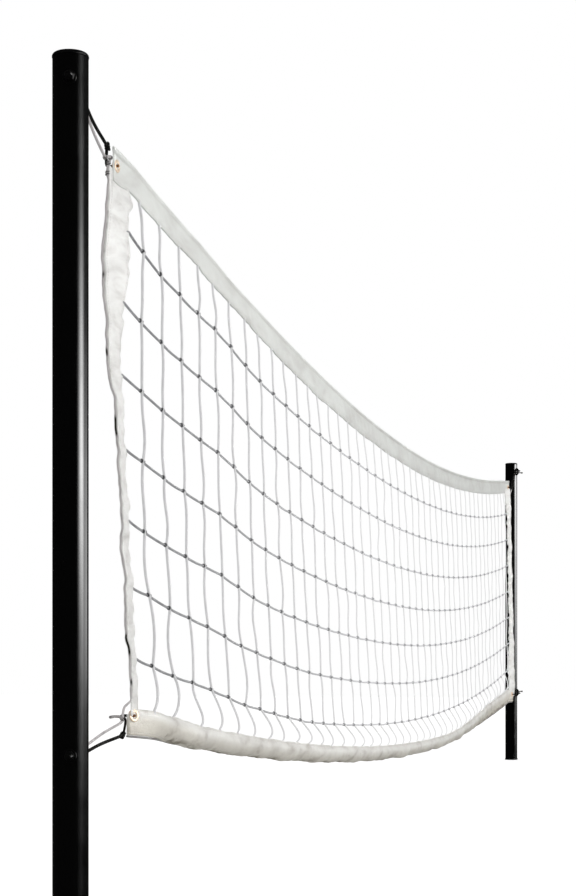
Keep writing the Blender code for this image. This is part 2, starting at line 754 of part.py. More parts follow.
# Ties: the knots and bends between an eye and its grommet, and the face that the tie goes in by
TIE_ROUTES = {
    "near_top": ([by_eye("upper", 0.100, 0.004, -0.0228), by_eye("upper", 0.152, 0.0035, -0.0388),
                  by_eye("upper", 0.158, 0.0035, -0.0413, 1.8), by_eye("upper", 0.163, 0.0060, -0.0448)], -1),
    "near_bottom": ([by_eye("lower", 0.130, 0.004, 0.0085), by_eye("lower", 0.214, 0.002, 0.0168),
                     by_eye("lower", 0.220, 0.002, 0.0175, 1.8), by_eye("lower", 0.2265, 0.002, 0.0215),
                     by_eye("lower", 0.2430, 0.0050, 0.0390)], -1),
    "far_top": ([by_eye("upper", 5.060, -0.0130, -0.0383), by_eye("upper", 5.050, -0.0130, -0.0483, 1.7),
                 by_eye("upper", 5.042, -0.0130, -0.0533)], 1),
    "far_bottom": ([by_eye("lower", 5.0900, -0.0220, -0.0120), by_eye("lower", 5.0840, -0.0220, -0.0140, 1.7),
                    by_eye("lower", 5.0770, -0.0230, -0.0140)], 1),
}


def tie(corner, tape, paint):
    side = corner.split("_")[0]
    level = {"top": "upper", "bottom": "lower"}[corner.split("_")[1]]
    tilt = math.radians({"upper": 45, "lower": -45}[level])
    bends, face = TIE_ROUTES[corner]
    centre, outward, front = grommet_frame(corner, tape)
    centre = centre + outward * (GROMMET_BORE / 2 * math.cos(math.pi / GROMMET_SEGMENTS) - TIE_D / 2 - GAP)
    entry = [
        (*(centre + outward * 0.0150 + front * face * 0.0080), 1.0),
        (*(centre + outward * 0.0030 + front * face * 0.0095), 1.0),
        (*(centre + front * face * 0.0040), 1.0),
        (*(centre - front * face * 0.0045), 1.0),
    ]
    start = eye_pass(side, level, tilt, TIE_D, TIE_KNOT_OUT, 1.45)
    points, swell = smooth_route(start + bends + entry, 2)
    cord(f"{corner}_tie", points, TIE_D, paint, swell)


SIDE_CORD_TOP = {
    "near": [by_eye("upper", 0.095, 0.000, -0.0423), by_eye("upper", 0.128, -0.002, -0.0613, 1.0),
             by_eye("upper", 0.133, -0.002, -0.0633, 1.9), by_eye("upper", 0.141, -0.004, -0.0603, 1.1),
             by_eye("upper", 0.150, -0.004, -0.0593, 2.0), by_eye("upper", 0.1545, 0.000, -0.0653, 1.6),
             by_eye("upper", 0.1565, 0.002, -0.0713, 1.0), by_eye("upper", 0.1590, 0.0035, -0.0783, 1.7)],
    "far": [by_eye("upper", 5.070, -0.016, -0.0563), by_eye("upper", 5.040, -0.010, -0.0853)],
}
SIDE_CORD_FOOT = {
    "near": [by_eye("lower", 0.2330, 0.0030, 0.0580), by_eye("lower", 0.2190, 0.001, 0.0470, 1.0),
             by_eye("lower", 0.2130, 0.000, 0.0420, 2.3), by_eye("lower", 0.2060, 0.000, 0.0360, 1.0),
             by_eye("lower", 0.130, 0.001, 0.0235)],
    "far": [by_eye("lower", 5.0860, -0.0215, 0.0045)],
}


def side_cord(side, tape, paint):
    """Runs down the side tape's outer edge and is made fast to the upper and the lower eye."""
    radius = ROPE_SIDE_D / 2
    along_edge = [(*point, 1.0) for point in tape.offset(-radius - GAP)]
    tilt = math.radians(45)
    upper_eye = eye_pass(side, "upper", -tilt, ROPE_SIDE_D, CORD_KNOT_OUT, 1.8)
    lower_eye = eye_pass(side, "lower", tilt, ROPE_SIDE_D, CORD_KNOT_OUT, 1.8)
    upper, upper_swell = smooth_route(upper_eye + SIDE_CORD_TOP[side] + along_edge[:1], 2)
    foot_end = along_edge[-1:] + SIDE_CORD_FOOT[side] + lower_eye[::-1]
    lower, lower_swell = smooth_route(foot_end, 2)
    middle = [Vector(point[:3]) for point in along_edge[1:-1]]
    points = upper + middle + lower
    swell = upper_swell + [1.0] * len(middle) + lower_swell
    cord(f"{side}_side_cord", points, ROPE_SIDE_D, paint, swell)


def build():
    for old in list(bpy.data.objects):
        bpy.data.objects.remove(old)
    pole_black = material("black_powder_coat", (0.012, 0.012, 0.013), 0.22)
    cap_black = material("black_cap_plastic", (0.014, 0.014, 0.014), 0.38)
    bolt_black = material("blackened_steel", (0.02, 0.02, 0.021), 0.3, 1.0)
    vinyl = material("white_vinyl_tape", (0.74, 0.74, 0.72), 0.45)
    twine = material("grey_twine", (0.24, 0.24, 0.25), 0.85)
    rope_grey = material("grey_rope", (0.33, 0.33, 0.34), 0.85)
    brass = material("brass_grommet", (0.78, 0.62, 0.40), 0.28, 1.0)
    tie_black = material("black_tie_cord", (0.018, 0.017, 0.015), 0.8)

    for side in POLE_X:
        pole_tube(side, pole_black)
        pole_cap(side, cap_black)
        foot_plug(side, cap_black)
        for level in EYE_Z:
            eye_bolt(side, level, bolt_black)
            washers(side, level, bolt_black)
            cap_nut(side, level, bolt_black)

    start, end = tape_ends("head")
    spread = [start + (end - start) * k / 11 for k in range(1, 11)]
    head = long_tape("head", spread)
    foot_places = [string_along(n, 1) for n in range(1, STRINGS + 1) if n in (2, 43) or n % 4 == 0]
    foot = long_tape("foot", foot_places)
    rows = range(1, ROWS + 1)
    near = side_tape("near", [row_height(row, NEAR_SIDE[0][1]) for row in rows])
    far = side_tape("far", [row_height(row, FAR_SIDE[0][1]) for row in rows])

    tapes = {
        "head": add_object("head_tape", head.mesh("head", rope_fold), vinyl),
        "foot": add_object("foot_tape", foot.mesh("foot", flat_fold), vinyl),
    }
    add_object("near_side_tape", near.mesh("near", flat_fold), vinyl)
    add_object("far_side_tape", far.mesh("far", flat_fold), vinyl)
    twine_mesh(head, foot, near, far, twine)

    for corner in GROMMETS:
        edge, tape = ("head", head) if corner.endswith("top") else ("foot", foot)
        centre, front, hole = grommet(corner, tape, brass)
        punch = boolean(tapes[edge], f"{corner}_punch", cylinder("punch", hole, -0.02, 0.02, 16, front), "DIFFERENCE")
        punch.location = centre
        tie(corner, tape, tie_black)

    rope_depth = ROPE_HEAD_D / 2 + GAP + PLY
    cord("head_rope", head.offset(rope_depth), ROPE_HEAD_D, rope_grey)
    cord("foot_rope", foot.offset(-ROPE_FOOT_D / 2 - GAP), ROPE_FOOT_D, rope_grey)
    side_cord("near", near, rope_grey)
    side_cord("far", far, rope_grey)


build()
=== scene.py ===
import math

import bmesh
import bpy
import numpy as np
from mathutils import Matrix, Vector


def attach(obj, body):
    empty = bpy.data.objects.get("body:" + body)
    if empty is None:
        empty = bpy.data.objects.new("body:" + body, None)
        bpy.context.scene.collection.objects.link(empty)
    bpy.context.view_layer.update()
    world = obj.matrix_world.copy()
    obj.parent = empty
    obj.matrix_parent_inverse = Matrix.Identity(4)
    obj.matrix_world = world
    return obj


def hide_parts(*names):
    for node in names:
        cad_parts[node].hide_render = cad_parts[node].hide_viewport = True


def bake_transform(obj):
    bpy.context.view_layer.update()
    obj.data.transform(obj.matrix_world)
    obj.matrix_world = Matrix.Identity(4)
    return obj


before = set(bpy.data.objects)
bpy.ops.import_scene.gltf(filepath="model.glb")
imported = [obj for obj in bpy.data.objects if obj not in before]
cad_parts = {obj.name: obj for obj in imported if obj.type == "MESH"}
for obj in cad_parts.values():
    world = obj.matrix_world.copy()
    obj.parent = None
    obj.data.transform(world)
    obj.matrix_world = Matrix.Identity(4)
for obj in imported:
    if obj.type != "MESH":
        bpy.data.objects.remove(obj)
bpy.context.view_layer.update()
chance = np.random.default_rng(11)

# %% [markdown]
# ## Sizes
# These are the frame's own sizes, written again because this script stands alone.
# A piece that lies over a node has to follow the same lines as the node does.
# %% Sizes
GAP = 0.0003
POLE_SPACING = 5.14
TUBE_R = 0.0483 / 2
TUBE_BORE_R = TUBE_R - 0.0026
PLUG_FLANGE = 0.0055
TUBE_FOOT = PLUG_FLANGE + GAP
TUBE_TOP = TUBE_FOOT + 1.198
POLE_X = {"near": 0.0, "far": POLE_SPACING}
EYE_TURN = {"near": math.radians(17.0), "far": math.radians(218.0)}
EYE_Z = {"lower": 0.275, "upper": TUBE_TOP - 0.0325}
EYE_BORE = 0.016
EYE_WIRE = 0.007
WASHER_THICK = 0.0016
SEAT_R = TUBE_R + GAP + WASHER_THICK + GAP
EYE_OUT = SEAT_R + EYE_BORE / 2 + EYE_WIRE
TAPE_WIDTH = 0.05
FLAT_END = 0.026
PLY = 0.001
TWINE = 0.003
TUCK = 0.008
print("poles", POLE_SPACING, "m apart, upper eyes at", round(EYE_Z["upper"], 4), "m")

# %% [markdown]
# ## Lines of the net
# A net like this is sewn flat and then hangs in shallow curves from its corners.
# A simulation could find them, but a nearly taut cord hangs in a parabola, which two short formulas give.
# The foot is slack, so its tape lies over towards the camera away from the corners.
# %% Edges of the net
GROMMET_INSET = 0.013
GROMMETS = {
    "near_top": (0.187, 0.021, 20.0),
    "near_bottom": (0.2654, 0.029, 30.0),
    "far_top": (5.01, 0.021, 18.0),
    "far_bottom": (5.055, 0.029, 20.0),
}
HEAD_DROP, HEAD_FALL, HEAD_SAG = 0.0393, 0.01, 0.141
FOOT_LIFT, FOOT_FALL, FOOT_SAG = 0.017, 0.059, 0.115
FOOT_SET = -0.011
FOOT_LEAN = math.radians(46.0)
FOOT_LEAN_RUN = 0.08
print("corners with grommets:", list(GROMMETS))


# %% Steps and tables
def clamp(value):
    return min(1.0, max(0.0, value))


def ease(value, start, end):
    """0 before the start, 1 past the end, and smooth between them."""
    t = clamp((value - start) / (end - start))
    return t * t * (3 - 2 * t)


def look_up(table, along, column=1):
    keys = np.array(table)
    return float(np.interp(along, keys[:, 0], keys[:, column]))


print("an eased step a quarter of the way:", ease(0.25, 0, 1))


# %% Hanging lines
def share(along, start, end):
    return (along - start) / (end - start)


def tape_ends(edge):
    place = {"head": "top", "foot": "bottom"}[edge]
    near, far = GROMMETS[f"near_{place}"], GROMMETS[f"far_{place}"]
    start = near[0] - GROMMET_INSET * math.cos(math.radians(near[2]))
    end = far[0] + GROMMET_INSET * math.cos(math.radians(far[2]))
    return start, end


def head_edge(along):
    u = share(along, *tape_ends("head"))
    return EYE_Z["upper"] - HEAD_DROP - HEAD_FALL * u - 4 * HEAD_SAG * u * (1 - u)


def foot_edge(along):
    u = share(along, *tape_ends("foot"))
    return EYE_Z["lower"] + FOOT_LIFT - FOOT_FALL * u - 4 * FOOT_SAG * u * (1 - u)


def foot_set(along):
    return FOOT_SET * clamp(share(along, *tape_ends("foot")))


def foot_lean(along):
    start, end = tape_ends("foot")
    past = max(0.0, min(along - start, end - along) - FLAT_END)
    return FOOT_LEAN * (1 - math.exp(-(past / FOOT_LEAN_RUN) ** 2))


print("head sags to", round(head_edge(2.6), 3), "m, foot to", round(foot_edge(2.6), 3), "m")

# %% [markdown]
# ## Turned corners
# A tie pulls its corner of the net round towards the eye, so each tape's end turns out of the net's plane.
# The turn could be a bend modifier. It is a formula here, so that grommet, tape and tie all follow it.
# %% Corners
CURL_FADE = 0.045


def front_way(turn):
    return np.array([-math.sin(turn), -math.cos(turn), 0.0])


def travel_way(turn):
    return np.array([math.cos(turn), -math.sin(turn), 0.0])


def curl(corner, inward):
    """Drift and turn of a tape near its end, where the tie pulls the corner round."""
    turn = math.radians(GROMMETS[corner][2])
    slope = math.tan(turn)
    inset = GROMMET_INSET * math.cos(turn)
    past = max(0.0, inward - FLAT_END)
    swing = CURL_FADE ** 2 / (CURL_FADE + FLAT_END - inset)
    fade = math.exp(-past / CURL_FADE)
    onward = CURL_FADE * (1 - fade) - CURL_FADE ** 2 * (1 - fade * (1 + past / CURL_FADE)) / swing
    drift = -slope * (min(inward, FLAT_END) - inset + onward)
    return drift, math.atan(slope * (1 - past / swing) * fade)


print("near top corner turns", round(math.degrees(curl("near_top", 0.0)[1]), 1), "degrees")

# %% [markdown]
# ## Rows and strings
# Strings drop from the head to the foot, and long twines cross them at every knot, 4 inches apart.
# The slack is pulled to one side, so the strings lean and crowd. A simulated net would never settle like
# the real one, so the places of the knots are formulas that were matched to it.
# %% Knot places
STRINGS = 44
ROWS = 7
UPPER_ROWS = 5
MESH = 0.1035
FIRST_ROW = 0.127
NEAR_LIFT = 0.026
LIFT_POWER = 18
STRING_START = 0.195
STRING_SPAN = 4.82
CROWDING = 0.075
LEAN_IN = 0.17
LOW_SHIFT = 0.062
SHIFT_POWER = 3.5
FOOT_SHIFT = 0.02
FIRST_FOOT_SHIFT = -0.004
ROW_SWELL = [
    (0.0, -0.009, -0.004), (0.1, 0.003, 0.0155), (0.2, 0.006, 0.0145), (0.3, 0.01, 0.017),
    (0.4, 0.012, 0.019), (0.5, 0.0165, 0.018), (0.6, 0.015, 0.0145), (0.7, 0.0075, 0.009),
    (0.8, 0.003, 0.0085), (1.0, 0.001, 0.004), (1.2, 0.0, 0.0),
]


def string_along(n, fall):
    share_n = n / (STRINGS + 1)
    t = share_n * (1 - CROWDING * (1 - share_n))
    shift = LOW_SHIFT * fall ** SHIFT_POWER
    if fall == 1:
        shift = FIRST_FOOT_SHIFT if n == 1 else FOOT_SHIFT
    return STRING_START + shift * (1 - t) + STRING_SPAN * t + LEAN_IN * 4 * t * (1 - t) * fall


def row_height(row, along):
    t = clamp((along - STRING_START) / STRING_SPAN)
    lift = look_up(ROW_SWELL, along - STRING_START, 1 if row <= UPPER_ROWS else 2)
    return head_edge(along) - FIRST_ROW - (row - 1) * MESH + NEAR_LIFT * (1 - t) ** LIFT_POWER + lift


def crossing(row, n):
    fall = 0.0
    for settle in range(3):
        along = string_along(n, fall)
        z = row_height(row, along)
        fall = (head_edge(along) - z) / (head_edge(along) - foot_edge(along))
    return np.array([along, foot_set(along) * fall, z])


print("first knot at", crossing(1, 1).round(3), "last at", crossing(ROWS, STRINGS).round(3))

# %% [markdown]
# ## Mesh tools
# Tapes, cords and wire are all swept shapes. Curve objects could draw them, but one class that gathers
# grids of points can also write a UV in metres, which carries weave, twist and stitches along every bend.
# %% Skin
def run_along(path):
    """The distance from a path's start to each of its points."""
    return np.concatenate([[0.0], np.cumsum(np.linalg.norm(np.diff(path, axis=0), axis=1))])


def circle(count, closed=False):
    return np.linspace(0, 2 * math.pi, count + 1)[:None if closed else -1]


class Skin:
    def __init__(self):
        self.points = []
        self.faces = []
        self.uvs = []
        self.paints = []
        self.marks = []
        self.count = 0

    def grid(self, rows, us, vs, paint=0, wrap=False, mark=0.0):
        """Rows of points, us along and vs across. wrap joins each row's last point to its first."""
        rows = np.asarray(rows, dtype=float)
        base, m, n = self.count, rows.shape[0], rows.shape[1]
        self.points.append(rows.reshape(-1, 3))
        self.marks.append(np.broadcast_to(np.reshape(mark, (-1, 1)), (m, n)).reshape(-1))
        self.count += m * n
        for i in range(m - 1):
            low, high = base + i * n, base + i * n + n
            for j in range(n if wrap else n - 1):
                k = (j + 1) % n
                self.faces.append((low + j, low + k, high + k, high + j))
                self.uvs += [(us[i], vs[j]), (us[i], vs[j + 1]), (us[i + 1], vs[j + 1]), (us[i + 1], vs[j])]
                self.paints.append(paint)
        return base

    def cap(self, loop, paint):
        self.faces.append(tuple(loop))
        self.uvs += [(0.0, 0.0)] * len(loop)
        self.paints.append(paint)

    def tube(self, path, radius, sides, paint=0, mark=0.0):
        """A round tube along the path, closed at both ends."""
        path = np.asarray(path, dtype=float)
        radius = np.broadcast_to(np.asarray(radius, dtype=float), (len(path),))
        way = np.gradient(path, axis=0)
        way /= np.linalg.norm(way, axis=1)[:, None]
        side = np.cross(way[0], [0.0, 0.0, 1.0] if abs(way[0][2]) < 0.9 else [0.0, 1.0, 0.0])
        out = []
        for step in way:
            side = side - step * side.dot(step)
            side = side / np.linalg.norm(side)
            out.append(side)
        out = np.array(out)
        up = np.cross(way, out)
        turns = circle(sides)
        spokes = np.cos(turns)[None, :, None] * out[:, None] + np.sin(turns)[None, :, None] * up[:, None]
        rings = path[:, None] + radius[:, None, None] * spokes
        vs = circle(sides, True) * float(radius.mean())
        base = self.grid(rings, run_along(path), vs, paint, True, mark)
        self.cap([base + k for k in range(sides)][::-1], paint)
        self.cap([base + (len(path) - 1) * sides + k for k in range(sides)], paint)

    def turned(self, profile, segments, place, axis):
        """A profile of (radius, height) pairs turned about an axis; it closes on itself or at the axis."""
        turn = np.array(Vector((0, 0, 1)).rotation_difference(Vector(axis).normalized()).to_matrix())
        rows = [[(r * math.cos(a), r * math.sin(a), h) for a in circle(segments)] for r, h in profile]
        rows = np.asarray(rows) @ turn.T + np.asarray(place)
        reach = max(r for r, h in profile)
        self.grid(rows, np.arange(len(profile)) * 0.002, circle(segments, True) * reach, 0, True)

    def build(self, name, paints, smooth_degrees=40.0):
        """Makes the object: doubles merged, faces turned outward, and a UV in metres."""
        mesh = bpy.data.meshes.new(name)
        mesh.from_pydata(np.concatenate(self.points).tolist(), [], self.faces)
        layer = mesh.uv_layers.new(name="metres")
        layer.data.foreach_set("uv", np.asarray(self.uvs, dtype=np.float32).ravel())
        mesh.polygons.foreach_set("material_index", self.paints)
        mark = mesh.attributes.new("mark", "FLOAT", "POINT")
        mark.data.foreach_set("value", np.concatenate(self.marks).astype(np.float32))
        shape = bmesh.new()
        shape.from_mesh(mesh)
        bmesh.ops.remove_doubles(shape, verts=shape.verts, dist=1e-7)
        bmesh.ops.recalc_face_normals(shape, faces=shape.faces)
        shape.to_mesh(mesh)
        shape.free()
        for paint in paints:
            mesh.materials.append(paint)
        mesh.shade_smooth()
        mesh.set_sharp_from_angle(angle=math.radians(smooth_degrees))
        made = bpy.data.objects.new(name, mesh)
        bpy.context.collection.objects.link(made)
        return made


print("skin tools:", [name for name in vars(Skin) if not name.startswith("_")])


# %% Lines of cord
def spline(route, spacing=0.004):
    """A smooth line through (x, y, z, swell) points, sampled at about the spacing."""
    keys = np.array([route[0]] + list(route) + [route[-1]], dtype=float)
    line = []
    for k in range(1, len(keys) - 2):
        before, start, end, after = keys[k - 1:k + 3]
        steps = max(2, int(np.linalg.norm((end - start)[:3]) / spacing))
        for t in np.arange(steps) / steps:
            pull = 0.5 * (end - before) * t * (1 - t) ** 2 - 0.5 * (after - start) * t * t * (1 - t)
            line.append(start + (end - start) * t * t * (3 - 2 * t) + pull)
    line.append(keys[-2])
    return np.array(line)


def coil(centre, axis, radius, turns, length, steps, start=0.0):
    """Points of a cord wound round an axis, as in a knot."""
    axis = np.asarray(axis, dtype=float)
    axis /= np.linalg.norm(axis)
    out = np.cross(axis, [0.0, 1.0, 0.0] if abs(axis[1]) < 0.9 else [1.0, 0.0, 0.0])
    out /= np.linalg.norm(out)
    t = np.linspace(0.0, 1.0, int(turns * steps) + 1)
    angle = start + 2 * math.pi * turns * t
    round_it = np.cos(angle)[:, None] * out + np.sin(angle)[:, None] * np.cross(axis, out)
    return np.asarray(centre) + axis * (t - 0.5)[:, None] * length + round_it * radius


def dress(made, body, node):
    """Puts a finished piece in the place of its node, and lets it ride with its body when one is given."""
    if body:
        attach(made, body)
    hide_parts(node)


print("a knot's coil has", len(coil((0, 0, 0), (0, 0, 1), 0.002, 2.4, 0.0115, 8)), "points")

# %% [markdown]
# ## Material tools
# Colours are written as screen values and turned to linear light in one place.
# One function adds any node with its settings and links, so each material below is a list of such calls.
# %% Material tools
def to_linear(code):
    parts = [int(code[k:k + 2], 16) / 255 for k in (1, 3, 5)]
    return tuple(c / 12.92 if c <= 0.04045 else ((c + 0.055) / 1.055) ** 2.4 for c in parts) + (1.0,)


def add(tree, kind, inputs=(), stops=(), output=0, to=None, **settings):
    """Adds a node. Its inputs are values or sockets, and its output is returned and may go to a socket."""
    node = tree.nodes.new("ShaderNode" + kind)
    for key, value in settings.items():
        setattr(node, key, value)
    for key, value in inputs.items() if isinstance(inputs, dict) else enumerate(inputs):
        if isinstance(value, bpy.types.NodeSocket):
            tree.links.new(value, node.inputs[key])
        else:
            node.inputs[key].default_value = value
    elements = node.color_ramp.elements if stops else ()
    while len(elements) < len(stops):
        elements.new(0.5)
    for element, (place, colour) in zip(elements, stops):
        element.position = place
        element.color = to_linear(colour) if isinstance(colour, str) else (colour, colour, colour, 1.0)
    if to is not None:
        tree.links.new(node.outputs[output], to)
    return node.outputs[output]


def surface(name, **values):
    """A material with its own constants on the shader, and the object's own place for patterns."""
    made = bpy.data.materials.new(name)
    made.use_nodes = True
    tree = made.node_tree
    shader = tree.nodes["Principled BSDF"].inputs
    for key, value in values.items():
        shader[key.replace("_", " ")].default_value = value
    return made, tree, shader, add(tree, "TexCoord", output="Object")


print("pure white is", to_linear("#ffffff"))

# %% [markdown]
# ## Black powder coat, cap plastic, blackened steel and brass
# The pole is powder-coated steel: a deep gloss black with the faint orange peel of baked powder, 2 mm wide.
# The caps are moulded plastic with a finer, duller grain. The bolts are oiled black steel, brown where worn.
# The grommets are pressed sheet brass with fine scuffs from the cord that runs through. They are drawn mostly
# diffuse, and their near-white peach is painted reflection of polished brass.
# All four are one recipe: patches that change the gloss, and a bump of fine grain. The peel is real in size,
# and the grains under a millimetre are drawn as coarse as they need to be to show.
# %% Hard materials
def hard_paint(name, patches, gloss, grain, depth, strength, tones=(), **values):
    """Patches steer the gloss and the tones. grain is the size of the bumps, or None for the patches."""
    made, tree, shader, place = surface(name, **values)
    patch = add(tree, "TexNoise", {"Vector": place, **patches})
    add(tree, "ValToRGB", (patch,), gloss, to=shader["Roughness"])
    if tones:
        add(tree, "ValToRGB", (patch,), tones, to=shader["Base Color"])
    fine = add(tree, "TexNoise", {"Vector": place, "Scale": 1 / grain}) if grain else patch
    add(tree, "Bump", {"Height": fine, "Distance": depth, "Strength": strength}, to=shader["Normal"])
    return made


powder = hard_paint("powder_coated_steel", {"Scale": 1 / 0.05, "Detail": 4.0},
                    [(0.3, 0.12), (0.75, 0.2)], 0.0022, 0.00004, 0.35,
                    Base_Color=to_linear("#040404"), Specular_IOR_Level=0.25)
cap_plastic = hard_paint("moulded_cap_plastic", {"Scale": 1 / 0.012, "Detail": 3.0},
                         [(0.3, 0.3), (0.8, 0.46)], 0.0007, 0.00005, 0.5,
                         Base_Color=to_linear("#060606"), Specular_IOR_Level=0.25)
black_steel = hard_paint("oil_blackened_steel", {"Scale": 1 / 0.004, "Detail": 5.0, "Roughness": 0.6},
                         [(0.3, 0.22), (0.8, 0.5)], 0.0009, 0.00005, 0.4,
                         [(0.35, "#060606"), (0.62, "#0e0e0d"), (0.8, "#2a2724")],
                         Metallic=0.4, Specular_IOR_Level=0.3)
# The pale peach tones stand for the bright reflection of polished brass: painted reflection.
brass = hard_paint("pressed_brass",
                   {"Scale": 1 / 0.0012, "Detail": 5.0, "Roughness": 0.65, "Distortion": 0.8},
                   [(0.3, 0.55), (0.7, 0.3)], None, 0.00008, 0.5,
                   [(0.3, "#e0bd97"), (0.48, "#f6e0c6"), (0.72, "#fdeedd")], Metallic=0.2)
print("hard materials:", powder.name, cap_plastic.name, black_steel.name, brass.name)

# %% [markdown]
# ## White vinyl
# The tapes are coated cloth: white, with patches painted a little grey as crease shade, and a low sheen.
# The base cloth prints through as a fine weave of about 0.7 mm, and two rows of lockstitch hold the hems.
# Weave and stitches follow the UV in metres, so they stay on the cloth: stitches 4 mm long, 4 mm from each
# mouth edge and just under the rope. The foot tape is also shaded where it rolls under.
# %% Vinyl
WEAVE = 0.0007
STITCH = 0.0042
STITCH_SHARE = 0.68
STITCH_HALF = 0.00055
THREAD = "#b9b7b0"
# Colour of the painted crease shade along the foot tape's lower edge.
CREASE_SHADE = "#a49e94"


def vinyl_paint(name, tones, stitch_rows, crease, low=None):
    """Vinyl in three tones, light to dark, with stitches on the given rows. low shades the rolled part."""
    light, middle, dark = tones
    made, tree, shader, place = surface(name, Specular_IOR_Level=0.4)
    along = add(tree, "SeparateXYZ", (add(tree, "UVMap", uv_map="metres"),))
    across = along.node.outputs["Y"]
    drawn = add(tree, "VectorMath", (place, (0.35, 1.0, 1.0)), operation="MULTIPLY")
    broad = add(tree, "TexNoise", {"Vector": drawn, "Scale": 1 / crease, "Detail": 5.0, "Roughness": 0.62,
                                   "Distortion": 0.4})
    # The broad noise paints crease shade: patches of the darker tones on the white vinyl.
    colour = add(tree, "ValToRGB", (broad,), [(0.3, dark), (0.46, middle), (0.6, light), (0.78, middle)])
    if low:
        level = add(tree, "Math", (across, 10.0), operation="MULTIPLY")
        inner = add(tree, "ValToRGB", (level,),
                    [(0.12, 0.0), (0.26, 0.75), (0.4, 0.9), (0.505, 1.0), (0.6, 0.4), (0.8, 0.0)])
        edge = add(tree, "ValToRGB", (level,), [(0.34, 0.0), (0.43, 1.0), (0.6, 1.0), (0.7, 0.0)])
        # Dark spots along the rolled lower edge are painted shade in its small creases.
        spots = add(tree, "TexNoise", {"Vector": drawn, "Scale": 1 / 0.014, "Detail": 3.0, "Roughness": 0.6})
        spots = add(tree, "ValToRGB", (spots,), [(0.45, 0.0), (0.56, 1.0)])
        past_end = add(tree, "Math", (along, 0.1), operation="GREATER_THAN")
        for factor in (edge, past_end):
            spots = add(tree, "Math", (spots, factor), operation="MULTIPLY")
        for factor, tone in ((inner, low), (spots, CREASE_SHADE)):
            colour = add(tree, "Mix", {"Factor": factor, "A": colour, "B": to_linear(tone)}, output="Result",
                         data_type="RGBA", blend_type="MULTIPLY")
    seam = 0.0
    for row in stitch_rows:
        line = add(tree, "Math", (across, row, STITCH_HALF), operation="COMPARE")
        seam = add(tree, "Math", (seam, line), operation="MAXIMUM")
    dash = add(tree, "Math", (along, STITCH), operation="MODULO")
    dash = add(tree, "Math", (dash, STITCH_SHARE * STITCH), operation="LESS_THAN")
    stitch = add(tree, "Math", (seam, dash), operation="MULTIPLY")
    shown = add(tree, "Math", (stitch, 0.5), operation="MULTIPLY")
    colour = add(tree, "Mix", {"Factor": shown, "A": colour, "B": to_linear(THREAD)}, output="Result",
                 data_type="RGBA", to=shader["Base Color"])
    weave = 1.0
    for way in (along, across):
        phase = add(tree, "Math", (way, 2 * math.pi / WEAVE), operation="MULTIPLY")
        thread = add(tree, "Math", (phase,), operation="SINE")
        weave = add(tree, "Math", (weave, thread), operation="MULTIPLY")
    folds = add(tree, "TexNoise", {"Vector": drawn, "Scale": 1 / 0.009, "Detail": 4.0, "Roughness": 0.6,
                                   "Distortion": 1.2})
    height = add(tree, "Math", (weave, 0.02, folds), operation="MULTIPLY_ADD")
    height = add(tree, "Math", (stitch, -0.25, height), operation="MULTIPLY_ADD")
    add(tree, "Bump", {"Height": height, "Distance": 0.001, "Strength": 0.55}, to=shader["Normal"])
    add(tree, "ValToRGB", (broad,), [(0.3, 0.34), (0.75, 0.52)], to=shader["Roughness"])
    return made


HEAD_STITCHES = (0.004, 0.041, 0.0665, 0.1035)
FLAT_STITCHES = (0.004, 0.0455, 0.0565, 0.098)
# The three tapes are one vinyl, each painted in its own tones as it is lit: the head tape greyer, the side
# tapes lightest.
HEAD_PAINT = vinyl_paint("white_vinyl_head", ("#e6e8e4", "#dfe0dc", "#d3d2ce"), HEAD_STITCHES, 0.05)
FOOT_PAINT = vinyl_paint("white_vinyl_foot", ("#f0efea", "#e6e4df", "#c9c5be"), FLAT_STITCHES, 0.03,
                         low="#e6e2da")
SIDE_PAINT = vinyl_paint("white_vinyl_side", ("#f6f6f3", "#ecebe8", "#d6d4d0"), FLAT_STITCHES, 0.022)
print("vinyl materials:", HEAD_PAINT.name, FOOT_PAINT.name, SIDE_PAINT.name)

# %% [markdown]
# ## Twine, rope and tie cord
# The mesh is three-strand twisted polyester twine, 3 mm thick. The strings read paler than the long twines,
# and each knot is painted darker because it is pulled tight and shades itself. Down its length the net is
# painted paler, as haze where the white around it swamps the thin twine, so each colour fades along the
# part's own X.
# The ropes and ties are braided, which shows as two sets of strands that cross.
# The strands are a bump that winds round the UV. Real strands would cost millions of faces for the same look.
# %% Cord materials
FUZZ = 0.0006


